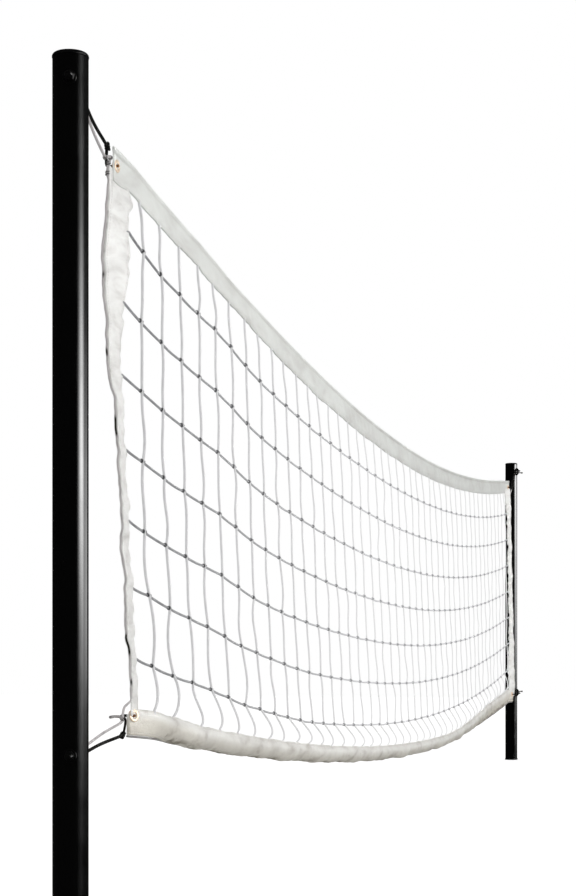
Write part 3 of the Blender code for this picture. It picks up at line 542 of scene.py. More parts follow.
def cord_paint(name, light, dark, diameter, pitch, count, braided=False, mark_colour=None, far=None):
    """count strands that make one turn in the pitch. The marks take the mark colour, and far is the paler
    colour painted at the far end.
    """
    made, tree, shader, place = surface(name, Roughness=0.85, Specular_IOR_Level=0.25)
    along = add(tree, "SeparateXYZ", (add(tree, "UVMap", uv_map="metres"),))
    wound = add(tree, "Math", (along, 2 * math.pi * count / pitch), operation="MULTIPLY")
    height = None
    for way in (1, -1) if braided else (1,):
        turned = (along.node.outputs["Y"], way * 2 * count / diameter, wound)
        strand = add(tree, "Math", (add(tree, "Math", turned, operation="MULTIPLY_ADD"),), operation="SINE")
        height = strand if height is None else add(tree, "Math", (height, strand), operation="MAXIMUM")
    fuzz = add(tree, "TexNoise", {"Vector": place, "Scale": 1 / FUZZ, "Detail": 3.0})
    lifted = add(tree, "Math", (fuzz, 0.8, height), operation="MULTIPLY_ADD")
    add(tree, "Bump", {"Height": lifted, "Distance": diameter * 0.06, "Strength": 0.8}, to=shader["Normal"])
    dirt = add(tree, "TexNoise", {"Vector": place, "Scale": 1 / 0.02, "Detail": 3.0})
    # Grooves between the strands are painted darker as shade; the dirt noise adds real tone.
    shade = add(tree, "Math", (height, 0.18, dirt), operation="MULTIPLY_ADD")
    colour = add(tree, "ValToRGB", (shade,), [(0.25, dark), (0.7, light)])
    # far paints the twine paler along the part's X: painted haze.
    if far:
        down_net = add(tree, "Math", (add(tree, "SeparateXYZ", (place,)), POLE_SPACING), operation="DIVIDE")
        faded = add(tree, "ValToRGB", (down_net,), [(0.05, 0.0), (0.4, 1.0)])
        colour = add(tree, "Mix", {"Factor": faded, "A": colour, "B": to_linear(far)}, output="Result",
                     data_type="RGBA")
    if mark_colour:
        mark = add(tree, "Attribute", attribute_name="mark", output="Fac")
        colour = add(tree, "Mix", {"Factor": mark, "A": colour, "B": to_linear(mark_colour)}, output="Result",
                     data_type="RGBA")
    tree.links.new(colour, shader["Base Color"])
    return made


ROPE_D = {"head": 0.007, "foot": 0.005, "side": 0.004}
TIE_D = 0.006
STRING_PAINT = cord_paint("pale_twisted_twine", "#e9e9ea", "#d4d4d5", TWINE, 0.009, 3, far="#fdfdfd")
ROW_PAINT = cord_paint("grey_twisted_twine", "#a8a8aa", "#868688", TWINE, 0.009, 3, far="#e2e2e4")
KNOT_PAINT = cord_paint("tight_twine_knot", "#545456", "#343436", 0.0025, 0.006, 3, far="#bababc")
# The side cords' marks are painted shade; the ties' marks are a tan where they lie in a grommet's bore.
CORD_PAINT = cord_paint("pale_braided_cord", "#cdc9c9", "#a39f9f", ROPE_D["side"], 0.008, 4, True, "#26251f")
ROPE_PAINT = cord_paint("grey_braided_rope", "#a8a6a4", "#6e6c6a", ROPE_D["side"], 0.008, 4, True)
TIE_PAINT = cord_paint("black_braided_cord", "#171614", "#060605", TIE_D, 0.012, 4, True, "#a8784f")
print("twine materials:", STRING_PAINT.name, ROW_PAINT.name, KNOT_PAINT.name)
print("cord materials:", CORD_PAINT.name, ROPE_PAINT.name, TIE_PAINT.name)

# %% [markdown]
# ## Poles, caps and foot plugs
# A pole is a drawn tube, turned here with many more sides than the frame needs, so its outline is round.
# The cap is a shallow moulded dome whose barrel is pressed into the tube, so only a thin rim shows past
# the tube. The foot plug carries a thicker flange with a rounded edge. All three are round, so each is a
# profile turned about the pole's axis, which gives cleaner edges than a cylinder with bevels.
# %% Poles
POLE_SIDES = 96
TUBE_EDGE = 0.0004
CAP_RIM, CAP_WALL, CAP_CROWN, CAP_DEPTH = 0.0006, 0.0025, 0.006, 0.02
CAP_ROUND = 0.0046
PLUG_RIM, PLUG_LIP, PLUG_WALL, PLUG_DEPTH = 0.0014, 0.0012, 0.003, 0.032


def arc(radius, out, up, start, stop, steps):
    turns = [math.radians(start + (stop - start) * k / steps) for k in range(steps + 1)]
    return [(out + radius * math.cos(a), up + radius * math.sin(a)) for a in turns]


def tube_profile():
    heights = np.linspace(TUBE_FOOT + TUBE_EDGE, TUBE_TOP - TUBE_EDGE, 24)
    outside = [(TUBE_R - TUBE_EDGE, TUBE_FOOT)] + [(TUBE_R, z) for z in heights]
    inside = [(TUBE_BORE_R, TUBE_TOP), (TUBE_BORE_R, TUBE_FOOT)]
    return outside + [(TUBE_R - TUBE_EDGE, TUBE_TOP)] + inside + outside[:1]


def cap_profile():
    rim = TUBE_R + CAP_RIM
    fit = TUBE_BORE_R - GAP
    seat = TUBE_TOP + GAP
    top = seat + CAP_CROWN
    low = TUBE_TOP - CAP_DEPTH
    barrel = [(0, seat), (fit - CAP_WALL, seat), (fit - CAP_WALL, low), (fit - TUBE_EDGE, low),
              (fit, low + TUBE_EDGE)]
    edge = [(fit, seat), (rim - 0.0003, seat), (rim, seat + 0.0003)]
    dome = [(rim * 0.72, top - 0.0003), (rim * 0.45, top - 0.0001), (rim * 0.2, top), (0, top)]
    return barrel + edge + arc(CAP_ROUND, rim - CAP_ROUND, top - CAP_ROUND - 0.0002, 0, 64, 10) + dome


def plug_profile():
    rim = TUBE_R + PLUG_RIM
    barrel = TUBE_BORE_R - GAP - PLUG_LIP
    end = TUBE_FOOT + PLUG_DEPTH
    profile = [(0, 0), (rim - PLUG_RIM, 0)] + arc(PLUG_RIM, rim - PLUG_RIM, PLUG_RIM, -90, 0, 5)
    profile += [(rim, PLUG_FLANGE - 0.0003), (rim - 0.0003, PLUG_FLANGE), (barrel, PLUG_FLANGE)]
    for k in (1, 2):
        lip = TUBE_FOOT + k * PLUG_DEPTH / 3
        profile += [(barrel, lip - PLUG_LIP), (barrel + PLUG_LIP, lip), (barrel, lip + PLUG_LIP)]
    bore = barrel - PLUG_WALL
    return profile + [(barrel, end), (bore, end), (bore, PLUG_FLANGE), (0, PLUG_FLANGE)]


for side, x in POLE_X.items():
    for name, node, profile, sides, paint, slot in (
            ("tube", "pole_tube", tube_profile(), POLE_SIDES, powder, "pole_black"),
            ("cap", "pole_cap", cap_profile(), POLE_SIDES, cap_plastic, "cap_black"),
            ("plug", "foot_plug", plug_profile(), 72, cap_plastic, "cap_black")):
        skin = Skin()
        skin.turned(profile, sides, (x, 0, 0), (0, 0, 1))
        dress(skin.build(f"{side}_{name}", [paint]), "poles", f"{side}_{node}")
print("poles:", round(TUBE_R * 2000, 1), "mm tube, cap top at", round(cap_profile()[-1][1], 4), "m")

# %% [markdown]
# ## Eye bolts, washers and cap nuts
# Each bolt is forged: a round eye on a plain shank that runs through the pole into a domed nut.
# The eye is swept round a circle and the rest is turned on the bolt's axis, with no boolean's ragged edges.
# The bolts stand at the angles at which the poles happen to be turned in their sockets.
# %% Bolts
SHANK_R = 0.004
CHAMFER = 0.0008
THREAD_OUT = 0.0085
COLLAR_R = 0.00625
WASHER_R = 0.0095
NUT_FLATS, NUT_HEX, NUT_DOME, DOME_R = 0.013, 0.0075, 0.0075, 0.0061
EYE_STEPS = 48
WIRE_SIDES = 14
print("an eye's centre stands", round(EYE_OUT * 1000, 1), "mm from the pole's axis")


# %% Bolt, washer and nut
def eye_bolt(centre, axis):
    bolt = Skin()
    wire = EYE_WIRE / 2
    major = (EYE_BORE + EYE_WIRE) / 2
    middle = centre + axis * EYE_OUT
    across = np.array([-axis[1], axis[0], 0.0])
    turns = circle(EYE_STEPS, True)
    ways = np.cos(turns)[:, None] * axis + np.sin(turns)[:, None] * np.array([0, 0, 1.0])
    rings = [middle + way * (major + wire * math.cos(a)) + across * wire * math.sin(a)
             for way in ways for a in circle(WIRE_SIDES)]
    rings = np.reshape(rings, (EYE_STEPS + 1, WIRE_SIDES, 3))
    bolt.grid(rings, turns * major, circle(WIRE_SIDES, True) * wire, 0, True)
    tip = -SEAT_R - THREAD_OUT
    shank = [(0, tip), (SHANK_R - CHAMFER, tip), (SHANK_R, tip + CHAMFER), (SHANK_R, SEAT_R)]
    collar = [(0.0058, SEAT_R), (COLLAR_R, SEAT_R + 0.0004), (COLLAR_R, SEAT_R + 0.0018),
              (0.005, SEAT_R + 0.0034), (SHANK_R * 0.9, SEAT_R + 0.005), (0, SEAT_R + wire)]
    bolt.turned(shank + collar, 28, centre, axis)
    return bolt


def washer(centre, way):
    ring = Skin()
    hole, back = SHANK_R + GAP, TUBE_R + GAP
    face = back + WASHER_THICK
    ring.turned([(hole, back), (WASHER_R, back), (WASHER_R, face - 0.0007), (WASHER_R - 0.0006, face),
                 (hole, face), (hole, back)], 40, centre, way)
    return ring


def cap_nut(centre, way):
    nut = Skin()
    hole = SHANK_R + GAP
    corner = NUT_FLATS / math.sqrt(3)
    foot = SEAT_R + NUT_HEX
    nut.turned([(hole, SEAT_R), (corner * 0.9, SEAT_R), (corner, SEAT_R + CHAMFER), (corner, foot - CHAMFER),
                (corner * 0.9, foot), (hole, foot), (hole, SEAT_R)], 6, centre, way)
    dome = [(DOME_R * math.cos(a), foot + NUT_DOME * math.sin(a)) for a in np.radians(np.linspace(0, 84, 12))]
    skirt = [(hole, foot - 0.002), (DOME_R, foot - 0.002)]
    nut.turned(skirt + dome + [(0, foot + NUT_DOME)], 32, centre, way)
    return nut


print("a cap nut is", round((NUT_HEX + NUT_DOME) * 1000, 1), "mm tall")

# %% Bolts in the poles
for side, turn in EYE_TURN.items():
    axis = np.array([math.cos(turn), math.sin(turn), 0.0])
    for level, z in EYE_Z.items():
        centre = np.array([POLE_X[side], 0.0, z])
        for name, node, skin, smooth in (("eye", "eye_bolt", eye_bolt(centre, axis), 40.0),
                                         ("inner_ring", "inner_washer", washer(centre, axis), 40.0),
                                         ("outer_ring", "outer_washer", washer(centre, -axis), 40.0),
                                         ("nut", "cap_nut", cap_nut(centre, -axis), 30.0)):
            made = skin.build(f"{side}_{level}_{name}", [black_steel], smooth)
            dress(made, "poles", f"{side}_{level}_{node}")
print("bolts: 4 eyes, each with 2 washers and a cap nut")

# %% [markdown]
# ## Tapes
# Each tape is one long strip of vinyl folded over its edge: the head tape over a rope, the others flat.
# Real vinyl does not stretch, so slack shows as creases that run across the strip and pucker at the stitches.
# Simulated cloth would take minutes for strips this long, so the strip is drawn as its middle surface and
# thickened, and its creases are sums of sharp-backed waves.
# %% Tape tools
SLOT_HALF = TWINE / 2 + 0.0006
PINCH_HALF = 0.00015
PINCH_RUN = 0.045
STRAIGHT_BEND = 0.02
CREASES = {"head": (0.0022, 0.001), "foot": (0.003, 0.0011), "side": (0.0026, 0.0016)}


def waves(lengths, low, high, sharp=1.0):
    """A repeatable function of two lengths: crossed waves with random slants, between -1 and 1."""
    slants = chance.uniform(low, high, len(lengths))
    starts = chance.uniform(0, 2 * math.pi, len(lengths))
    weights = np.sqrt(np.array(lengths))
    weights /= weights.sum()

    def value(u, v):
        total = 0.0
        for length, slant, start, weight in zip(lengths, slants, starts, weights):
            s = math.sin(2 * math.pi * (u + slant * v) / length + start)
            total += weight * math.copysign(abs(s) ** sharp, s)
        return total
    return value


print("the plies stand", round(2 * SLOT_HALF * 1000, 1), "mm apart where a string goes in")


# %% Folded strip
class Tape:
    """A folded strip: a place for any distance along, side step and depth from the closed edge.

    gather gives a depth, and how much the strip is drawn together beyond it. cup is half the angle
    that the strip bends through across its width, where slack lets it roll into a gutter.
    """

    def __init__(self, edge_frame, crease, gather=None, cup=None):
        self.edge_frame = edge_frame
        self.crease = crease
        self.gather = gather
        self.cup = cup

    def spot(self, frame_here, along, side, depth):
        edge, across, normal, half = frame_here
        step = side + self.crease(along, depth)
        if self.gather:
            start, share_left = self.gather(along)
            depth = depth if depth < start else start + (depth - start) * share_left
        bend = self.cup(along) if self.cup else 0.0
        if bend < STRAIGHT_BEND:
            return edge + across * depth + normal * step
        radius = TAPE_WIDTH / (2 * bend)
        reach = min(max(depth, 0.0), TAPE_WIDTH)
        turn = bend - reach / radius
        rise = radius * (math.sin(bend) - math.sin(turn)) + (depth - reach) * math.cos(turn)
        out = radius * (math.cos(turn) - math.cos(bend)) + (depth - reach) * math.sin(turn)
        return edge + across * (rise - math.sin(turn) * step) + normal * (out + math.cos(turn) * step)

    def at(self, along, side, depth):
        return self.spot(self.edge_frame(along), along, side, depth)

    def strip(self, stations, section):
        """Rows of points for the folded strip, from mouth to mouth; its ends are sewn flat."""
        rows = []
        for k, along in enumerate(stations):
            here = self.edge_frame(along)
            flat = min(1.0, 0.2 + 0.4 * min(k, len(stations) - 1 - k))
            rows.append([self.spot(here, along, side * flat, depth) for side, depth in section(here[3])])
        return np.array(rows)


print("a tape is", TAPE_WIDTH * 1000, "mm wide folded, with plies", PLY * 1000, "mm thick")


# %% Tape sections
def mouth(half, depth):
    """Half the space between the plies' middles: the hems come together over the last few millimetres."""
    shut = PLY / 2 + 0.0002
    return shut + (half + PLY / 2 - shut) * ease(TAPE_WIDTH - 0.002 - depth, 0, 0.01)


def folded(half, inmost, steps, fold):
    """The whole section: front ply from mouth to fold, the fold, and the back ply out again."""
    front = [(mouth(half, depth), depth) for depth in np.linspace(TAPE_WIDTH, inmost, steps)]
    return front + fold + [(-side, depth) for side, depth in front[::-1]]


def flat_section(half):
    out = half + PLY / 2
    fold = [(out * math.cos(a), 0.0022 - 0.0017 * math.sin(a)) for a in np.radians(np.linspace(10, 170, 7))]
    return folded(half, 0.004, 16, fold)


def rope_section(half):
    radius = ROPE_D["head"] / 2 + GAP + PLY / 2
    top = radius + PLY / 2
    stop = math.asin(min(0.9, (half + PLY / 2) / radius))
    sweep = np.linspace(stop, 2 * math.pi - stop, 15)
    fold = [(radius * math.sin(a), top + radius * math.cos(a)) for a in sweep]
    return folded(half, top + radius * math.cos(stop) + 0.002, 15, fold)


def lay_tape(name, tape, stations, section, paint, node):
    """Builds the strip, and returns it with the size of the flat strip that it was cut from."""
    rows = tape.strip(stations, section)
    vs = run_along(section(SLOT_HALF))
    us = run_along(rows[:, rows.shape[1] // 2])
    skin = Skin()
    skin.grid(rows, us, vs)
    made = skin.build(name, [paint], 80.0)
    thick = made.modifiers.new("ply", "SOLIDIFY")
    thick.thickness = PLY
    thick.offset = 0.0
    dress(made, "net", node)
    return made, (round(float(vs[-1]), 4), round(float(us[-1]), 3))


print("section round the rope:", len(rope_section(SLOT_HALF)), "points")

# %% [markdown]
# ## Head and foot tapes
# The head tape hangs straight from its rope. It is drawn together near the corner, and its edge rides up.
# The foot tape is slack and crumpled: it lies over and rolls into a gutter away from its ends.
# Where each tape is gathered, lifted or rolled is a short table or an eased step, because the real creases
# follow no rule that a simulation could find.
# %% Tables of the long tapes
HEAD_RISE = [
    (0.17, 0.0038), (0.225, 0.0045), (0.26, 0.0062), (0.4, 0.0066), (0.5, 0.007), (0.6, 0.008), (0.7, 0.0066),
    (0.8, 0.0036), (1.0, 0.0036), (1.2, 0.0025), (1.5, 0.0015), (2.0, 0.0), (3.0, 0.001), (4.0, 0.007),
    (4.8, 0.0085), (5.01, 0.005),
]
HEAD_WIDTH = [
    (0.2, 0.0495), (0.245, 0.0425), (0.6, 0.0415), (0.8, 0.0405), (0.95, 0.044), (1.2, 0.047), (1.35, 0.05),
]
HEAD_TIGHT = 0.01
FOOT_RISE = [(3.2, 0.0), (3.8, 0.008), (4.4, 0.016), (4.85, 0.017), (5.06, 0.007)]
FOOT_TIGHT = 0.022
FOOT_CUP = 1.22
FAR_CALM = (0.4, 1.9)
STATION = 0.0075
head_broad = waves([0.41, 0.27, 0.173], -0.6, 0.6)
head_fine = waves([0.083, 0.047, 0.031], -1.2, 1.2, 0.8)
foot_broad = waves([0.33, 0.21, 0.146], -1.0, 1.0)
foot_fine = waves([0.071, 0.043, 0.029], -1.6, 1.6, 0.7)
print("head tape is", look_up(HEAD_WIDTH, 0.8), "m wide where it is drawn together most")


# %% Creases and gathers
def calm(along, edge):
    """0 at the grommets and 1 away from them, where the vinyl is free to crease."""
    start, end = tape_ends(edge)
    return ease(min(along - start, end - along), 0.03, 0.15)


def head_crease(along, depth):
    deep = clamp((depth - 0.008) / 0.03)
    broad, fine = CREASES["head"]
    return calm(along, "head") * deep * (broad * head_broad(along, depth) + fine * head_fine(along, depth))


def foot_crease(along, depth):
    deep = 0.35 + 0.65 * min(1.0, depth / 0.02)
    broad, fine = CREASES["foot"]
    return calm(along, "foot") * deep * (broad * foot_broad(along, depth) + fine * foot_fine(along, depth))


def head_gather(along):
    return HEAD_TIGHT, (look_up(HEAD_WIDTH, along) - HEAD_TIGHT) / (TAPE_WIDTH - HEAD_TIGHT)


def foot_gather(along):
    past = along - tape_ends("foot")[0]
    return FOOT_TIGHT, (0.61 + 0.39 * ease(along, 0.32, 0.42)) * (0.35 + 0.65 * ease(past, -0.004, 0.016))


def far_calm(along):
    return ease(tape_ends("foot")[1] - along, *FAR_CALM)


def foot_cup(along):
    return FOOT_CUP * ease(along, 0.27, 0.38) * far_calm(along) * (1 + 0.1 * foot_broad(along, 0.02))


def foot_look(along):
    """The lean of the cupped tape: nearly upright by the corner and lying over past the second string."""
    lean = 6.0 * ease(along, 0.28, 0.33) + 27.0 * ease(along, 0.44, 0.56)
    return math.radians(lean) * far_calm(along)


print("foot tape leans", round(math.degrees(foot_look(2.6)), 1), "degrees at its middle")


# %% Frames of the long tapes
def long_frame(edge):
    """The frame of a long tape: edge point, way across, way out and half its slot, at any distance along."""
    start, end = tape_ends(edge)
    place = {"head": "top", "foot": "bottom"}[edge]

    def place_at(along):
        near = along - start < end - along
        inward = along - start if near else end - along
        side, heading = curl(f"near_{place}" if near else f"far_{place}", inward)
        if near and edge == "head":
            side, heading = side * 0.1, heading * 0.25
        side = side if near else -side
        front = front_way(heading)
        half = PINCH_HALF + (SLOT_HALF - PINCH_HALF) * ease(inward, FLAT_END, FLAT_END + PINCH_RUN)
        if edge == "head":
            top = head_edge(along) + look_up(HEAD_RISE, along)
            return np.array([along, side, top]), np.array([0, 0, -1.0]), front, half
        lean = foot_look(along)
        across = front * math.sin(lean) + np.array([0, 0, math.cos(lean)])
        normal = front * math.cos(lean) - np.array([0, 0, math.sin(lean)])
        low = foot_edge(along) + look_up(FOOT_RISE, along)
        return np.array([along, side + foot_set(along), low]), across, normal, half
    return place_at


def long_stations(edge):
    start, end = tape_ends(edge)
    return np.linspace(start, end, int((end - start) / STATION))


head = Tape(long_frame("head"), head_crease, gather=head_gather)
foot = Tape(long_frame("foot"), foot_crease, gather=foot_gather, cup=foot_cup)
head_piece, head_flat = lay_tape("head_tape_vinyl", head, long_stations("head"), rope_section,
                                 HEAD_PAINT, "head_tape")
foot_piece, foot_flat = lay_tape("foot_tape_vinyl", foot, long_stations("foot"), flat_section,
                                 FOOT_PAINT, "foot_tape")
print("head tape cut", head_flat, "foot tape cut", foot_flat)

# %% [markdown]
# ## Side tapes
# The side tapes are gathered on their cords, so they crumple into short folds all the way down.
# The near one is also drawn in from its cord halfway down and over its last few centimetres.
# Each end is pinched and sewn between the plies of the long tape that it meets.
# They follow a table of places and turns down the net, smoothed so that no row of it shows as a kink.
# %% Lines of the side tapes
SIDE_LINES = {
    "near": [(0.0, 0.188, 0.0012, 3.0), (0.08, 0.19, 0.0, 22.0), (0.14, 0.188, 0.0, 30.0),
             (0.22, 0.185, 0.0, 18.0), (0.3, 0.182, 0.0, 8.0), (0.41, 0.192, 0.0, 0.0),
             (0.62, 0.22, 0.0, -6.5), (0.79, 0.243, 0.0, -7.5), (0.92, 0.257, 0.0, -6.5),
             (1.0, 0.26, 0.0, -1.0)],
    "far": [(0.0, 5.005, 0.0, 17.0), (0.5, 5.03, -0.005, 18.0), (1.0, 5.055, -0.011, 20.0)],
}
DRAWN_IN = {
    "near": [(0.38, 1.0), (0.44, 0.72), (0.52, 0.7), (0.6, 0.8), (0.72, 0.96), (0.78, 1.0), (0.875, 1.0),
             (0.925, 0.62)],
    "far": [(0.0, 1.0)],
}
SPREAD = {
    "near": [(-0.03, 0.1), (-0.01, 0.62), (0.004, 0.78), (0.018, 0.56), (0.034, 0.24), (0.06, 0.03),
             (0.08, 0.0), (0.18, 0.0), (0.27, -0.2), (0.38, -0.12), (0.5, -0.04), (0.6, 0.0)],
    "far": [(0.03, 0.0), (0.12, -0.36), (0.7, -0.32), (0.85, 0.0)],
}
SEWN_RUN = 0.05
SIDE_DROP = 0.75
SIDE_STATIONS = np.linspace(-0.03, 1.03, 178)
side_broad = waves([0.131, 0.089, 0.061], -0.5, 0.5)
side_fine = waves([0.037, 0.026, 0.019], -1.0, 1.0, 0.7)
print("places set down each side tape:", [len(line) for line in SIDE_LINES.values()])


# %% Frames of the side tapes
def smooth_table(table):
    """The table's columns at 201 even steps, each averaged with its neighbours."""
    falls = np.linspace(0, 1, 201)
    kernel = np.hanning(25)
    kernel /= kernel.sum()
    columns = []
    for column in (1, 2, 3):
        line = np.array([look_up(table, fall, column) for fall in falls])
        before = line[0] - (line[1] - line[0]) * np.arange(12, 0, -1)
        after = line[-1] + (line[-1] - line[-2]) * np.arange(1, 13)
        columns.append(np.convolve(np.concatenate([before, line, after]), kernel, "valid"))
    return falls, columns


def side_frame(side):
    """The frame of a side tape at any share of its fall, and the heights of its ends."""
    inward = {"near": 1, "far": -1}[side]
    falls, columns = smooth_table(SIDE_LINES[side])
    first, last = SIDE_LINES[side][0][1], SIDE_LINES[side][-1][1]
    top = head_edge(first) - TAPE_WIDTH
    bottom = foot_edge(last) + TAPE_WIDTH * math.cos(foot_lean(last))

    def place_at(fall):
        along, step, turn = (float(np.interp(fall, falls, column)) for column in columns)
        turn = math.radians(turn)
        across = travel_way(turn) * inward
        slope = 0.0
        if fall < SEWN_RUN:
            slope = (head_edge(first + 0.01) - head_edge(first)) / 0.01 * (1 - max(0.0, fall) / SEWN_RUN)
        if fall > 1 - SEWN_RUN:
            slope = (foot_edge(last + 0.01) - foot_edge(last)) / 0.01 * (fall - 1 + SEWN_RUN) / SEWN_RUN
        sloped = across + np.array([0, 0, slope * across[0]])
        centre = np.array([along, step, top + (bottom - top) * fall])
        half = PINCH_HALF + (SLOT_HALF - PINCH_HALF) * ease(min(fall, 1 - fall), -0.004, 0.026)
        drawn = look_up(DRAWN_IN[side], fall)
        wide = sloped * (drawn + look_up(SPREAD[side], fall))
        return centre + sloped * TAPE_WIDTH * (0.5 - drawn), wide, front_way(turn), half
    return place_at, top, bottom


def side_crease(fall, depth):
    free = clamp(min(fall, 1 - fall) / 0.05)
    z = fall * SIDE_DROP
    broad, fine = CREASES["side"]
    return free * (broad * side_broad(z, depth) + fine * side_fine(z, depth) * (0.5 + depth / TAPE_WIDTH))


print("a crease halfway down:", round(side_crease(0.5, TAPE_WIDTH) * 1000, 2), "mm")

# %% Side tapes laid
sides = {}
for side in POLE_X:
    placed, top, bottom = side_frame(side)
    sides[side] = Tape(placed, side_crease)
    sides[side].top, sides[side].bottom = top, bottom
    lay_tape(f"{side}_side_vinyl", sides[side], SIDE_STATIONS, flat_section, SIDE_PAINT,
                          f"{side}_side_tape")

# %% [markdown]
# ## Twine mesh
# The net is knotted by hand or machine: long twines run its length and a string drops through each knot.
# Loads pull the strings nearly straight, but never quite, so each span wanders by a millimetre or two.
# The last row hangs slack, because the foot tape is lighter than the net is long: its strings bow out.
# Every string is one swept tube from tape to tape, so no joint shows between its spans. The strings are
# drawn thicker than the 3 mm cord, most of all at the near end, so that they read as they do on the real net.
# %% Twine sizes
STRING_R = 0.0023
ROW_R = 0.002
WANDER = {1: 0.0014, 2: 0.0016, 3: 0.0016, 4: 0.0018, 5: 0.002, 6: 0.0022, 7: 0.0026}
SET_BOWS = {(7, 1): 0.0055, (7, 2): -0.007, (7, 3): 0.0024}
SLACK = {1: 0.008}
USUAL_SLACK = 0.0125
WANDER_WAY = np.array([1.0, -0.6, 0.0])
SLACK_WAY = np.array([0.35, -0.9, 0.0])
DOWN = np.array([0, 0, -1.0])
KNOT_FRONT = np.array([0.0, -0.0014, 0.0])
print("rows wander by", list(WANDER.values()), "m")


# %% Spans and knots
def wander(start, end, steps, amount, fixed=None):
    """Points from start to end that bow off the straight line."""
    t = np.linspace(0, 1, steps)[:, None]
    bow = chance.normal(0, amount, 2) if fixed is None else (fixed, 0.0)
    once, twice = np.sin(math.pi * t), np.sin(2 * math.pi * t)
    return start + (end - start) * t + WANDER_WAY * (bow[0] * once + bow[1] * 0.6 * twice)


def nudge(row, n):
    """The knots beside the near tape sit a few millimetres forward, where the tape pushes them."""
    if row == 1 and n == 1:
        return np.array([0.004, -0.0035, 0.0])
    if row >= 6:
        return np.array([0.0, -0.0036, -0.0015]) * math.exp(-(n - 1) / 2.0)
    return np.zeros(3)


def slack_span(n, start, end, into):
    """The last span of a string: a curve that leaves the last knot, bows out and comes up into the tape."""
    chord = np.linalg.norm(end - start)
    bow = SLACK_WAY * SLACK.get(n, USUAL_SLACK) * 4 / 3 * chance.uniform(0.8, 1.2)
    leave = start + bow * (-0.3 if n == 3 else 0.7) + DOWN * chord / 3
    arrive = end + bow * 1.3 + (end - into) / np.linalg.norm(end - into) * chord / 4
    t = np.linspace(0, 1, 13)[1:, None]
    return (1 - t) ** 3 * start + 3 * (1 - t) ** 2 * t * leave + 3 * (1 - t) * t ** 2 * arrive + t ** 3 * end


knots = {(row, n): crossing(row, n) + nudge(row, n)
         for row in range(1, ROWS + 1) for n in range(1, STRINGS + 1)}
print("knots:", len(knots))

# %% Strings
net = Skin()
for n in range(1, STRINGS + 1):
    top = string_along(n, 0)
    spans = [np.array([head.at(top, 0.0, TAPE_WIDTH - TUCK), head.at(top, 0.0, TAPE_WIDTH + 0.001)])]
    previous = spans[0][-1]
    for row in range(1, ROWS + 1):
        knot = knots[row, n] + KNOT_FRONT
        amount = WANDER[row] * (0.8 + 0.4 * math.exp(-n / 8))
        spans.append(wander(previous, knot, 8, amount, SET_BOWS.get((row, n)))[1:])
        previous = knot
    bottom = string_along(n, 1)
    into = foot.at(bottom, 0.0, TAPE_WIDTH - TUCK)
    spans.append(slack_span(n, previous, foot.at(bottom, 0.0, TAPE_WIDTH + 0.002), into))
    spans.append(np.array([into]))
    net.tube(np.concatenate(spans), STRING_R * (0.72 + 0.28 * math.exp(-n / 14)), 7, 0)
print("strings:", STRINGS)


# %% Long twines and knots
def row_end(side, row):
    """Where a long twine ends inside a side tape, and where it leaves the tape."""
    tape = sides[side]
    fall = (tape.top - row_height(row, SIDE_LINES[side][0][1])) / (tape.top - tape.bottom)
    return [tape.at(fall, 0.0, TAPE_WIDTH - TUCK), tape.at(fall, 0.0, TAPE_WIDTH + 0.002)]


for row in range(1, ROWS + 1):
    spans = [np.array(row_end("near", row))]
    previous = spans[0][-1]
    t = np.linspace(0, 1, 6)[1:, None]
    for n in range(1, STRINGS + 1):
        knot = knots[row, n] - KNOT_FRONT
        dip = DOWN * abs(chance.normal(0.0008, 0.0006)) * 4
        spans.append(previous + (knot - previous) * t + dip * t * (1 - t))
        previous = knot
    spans.append(np.array(row_end("far", row)[::-1]))
    net.tube(np.concatenate(spans), ROW_R, 7, 1)
for (row, n), knot in knots.items():
    before = knots.get((row, n - 1), knot - np.array([0.1, 0, 0]))
    after = knots.get((row, n + 1), knot + np.array([0.1, 0, 0]))
    girth = 0.002 + 0.0005 * min(1.0, n / 10)
    net.tube(coil(knot, after - before, girth, 2.4, 0.0115, 8, chance.uniform(0, 6)), 0.0013, 5, 2)
    net.tube(coil(knot, (0.3, 0.1, 1.0), 0.002, 1.1, 0.0045, 8, chance.uniform(0, 6)), 0.0012, 5, 2)
mesh_piece = net.build("knotted_twine_mesh", [STRING_PAINT, ROW_PAINT, KNOT_PAINT], 70.0)
dress(mesh_piece, "net", "net_mesh")
print("mesh:", STRINGS, "strings,", ROWS, "long twines,", len(knots), "knots")

# %% [markdown]
# ## Ropes in the tapes
# The head rope fills the head tape's fold, and the foot rope is lashed along the foot tape's lower edge.
# They could be curves of their own, but points taken from the tape itself follow its every crease.
# %% Ropes
ROPE_RADII = {"head": ROPE_D["head"] * 0.5, "foot": ROPE_D["foot"] * 0.35}
for edge, tape, depth, first in (("head", head, ROPE_D["head"] / 2 + GAP + PLY, 1),
                                 ("foot", foot, -ROPE_RADII["foot"] - GAP, 0)):
    rope = Skin()
    places = [tape.at(along, 0.0, depth) for along in long_stations(edge)[::3][first:]]
    rope.tube(places, ROPE_RADII[edge], 12)
    dress(rope.build(f"{edge}_rope_braid", [ROPE_PAINT]), "net", f"{edge}_rope")
    print(edge, "rope", round(float(run_along(places)[-1]), 2), "m long")

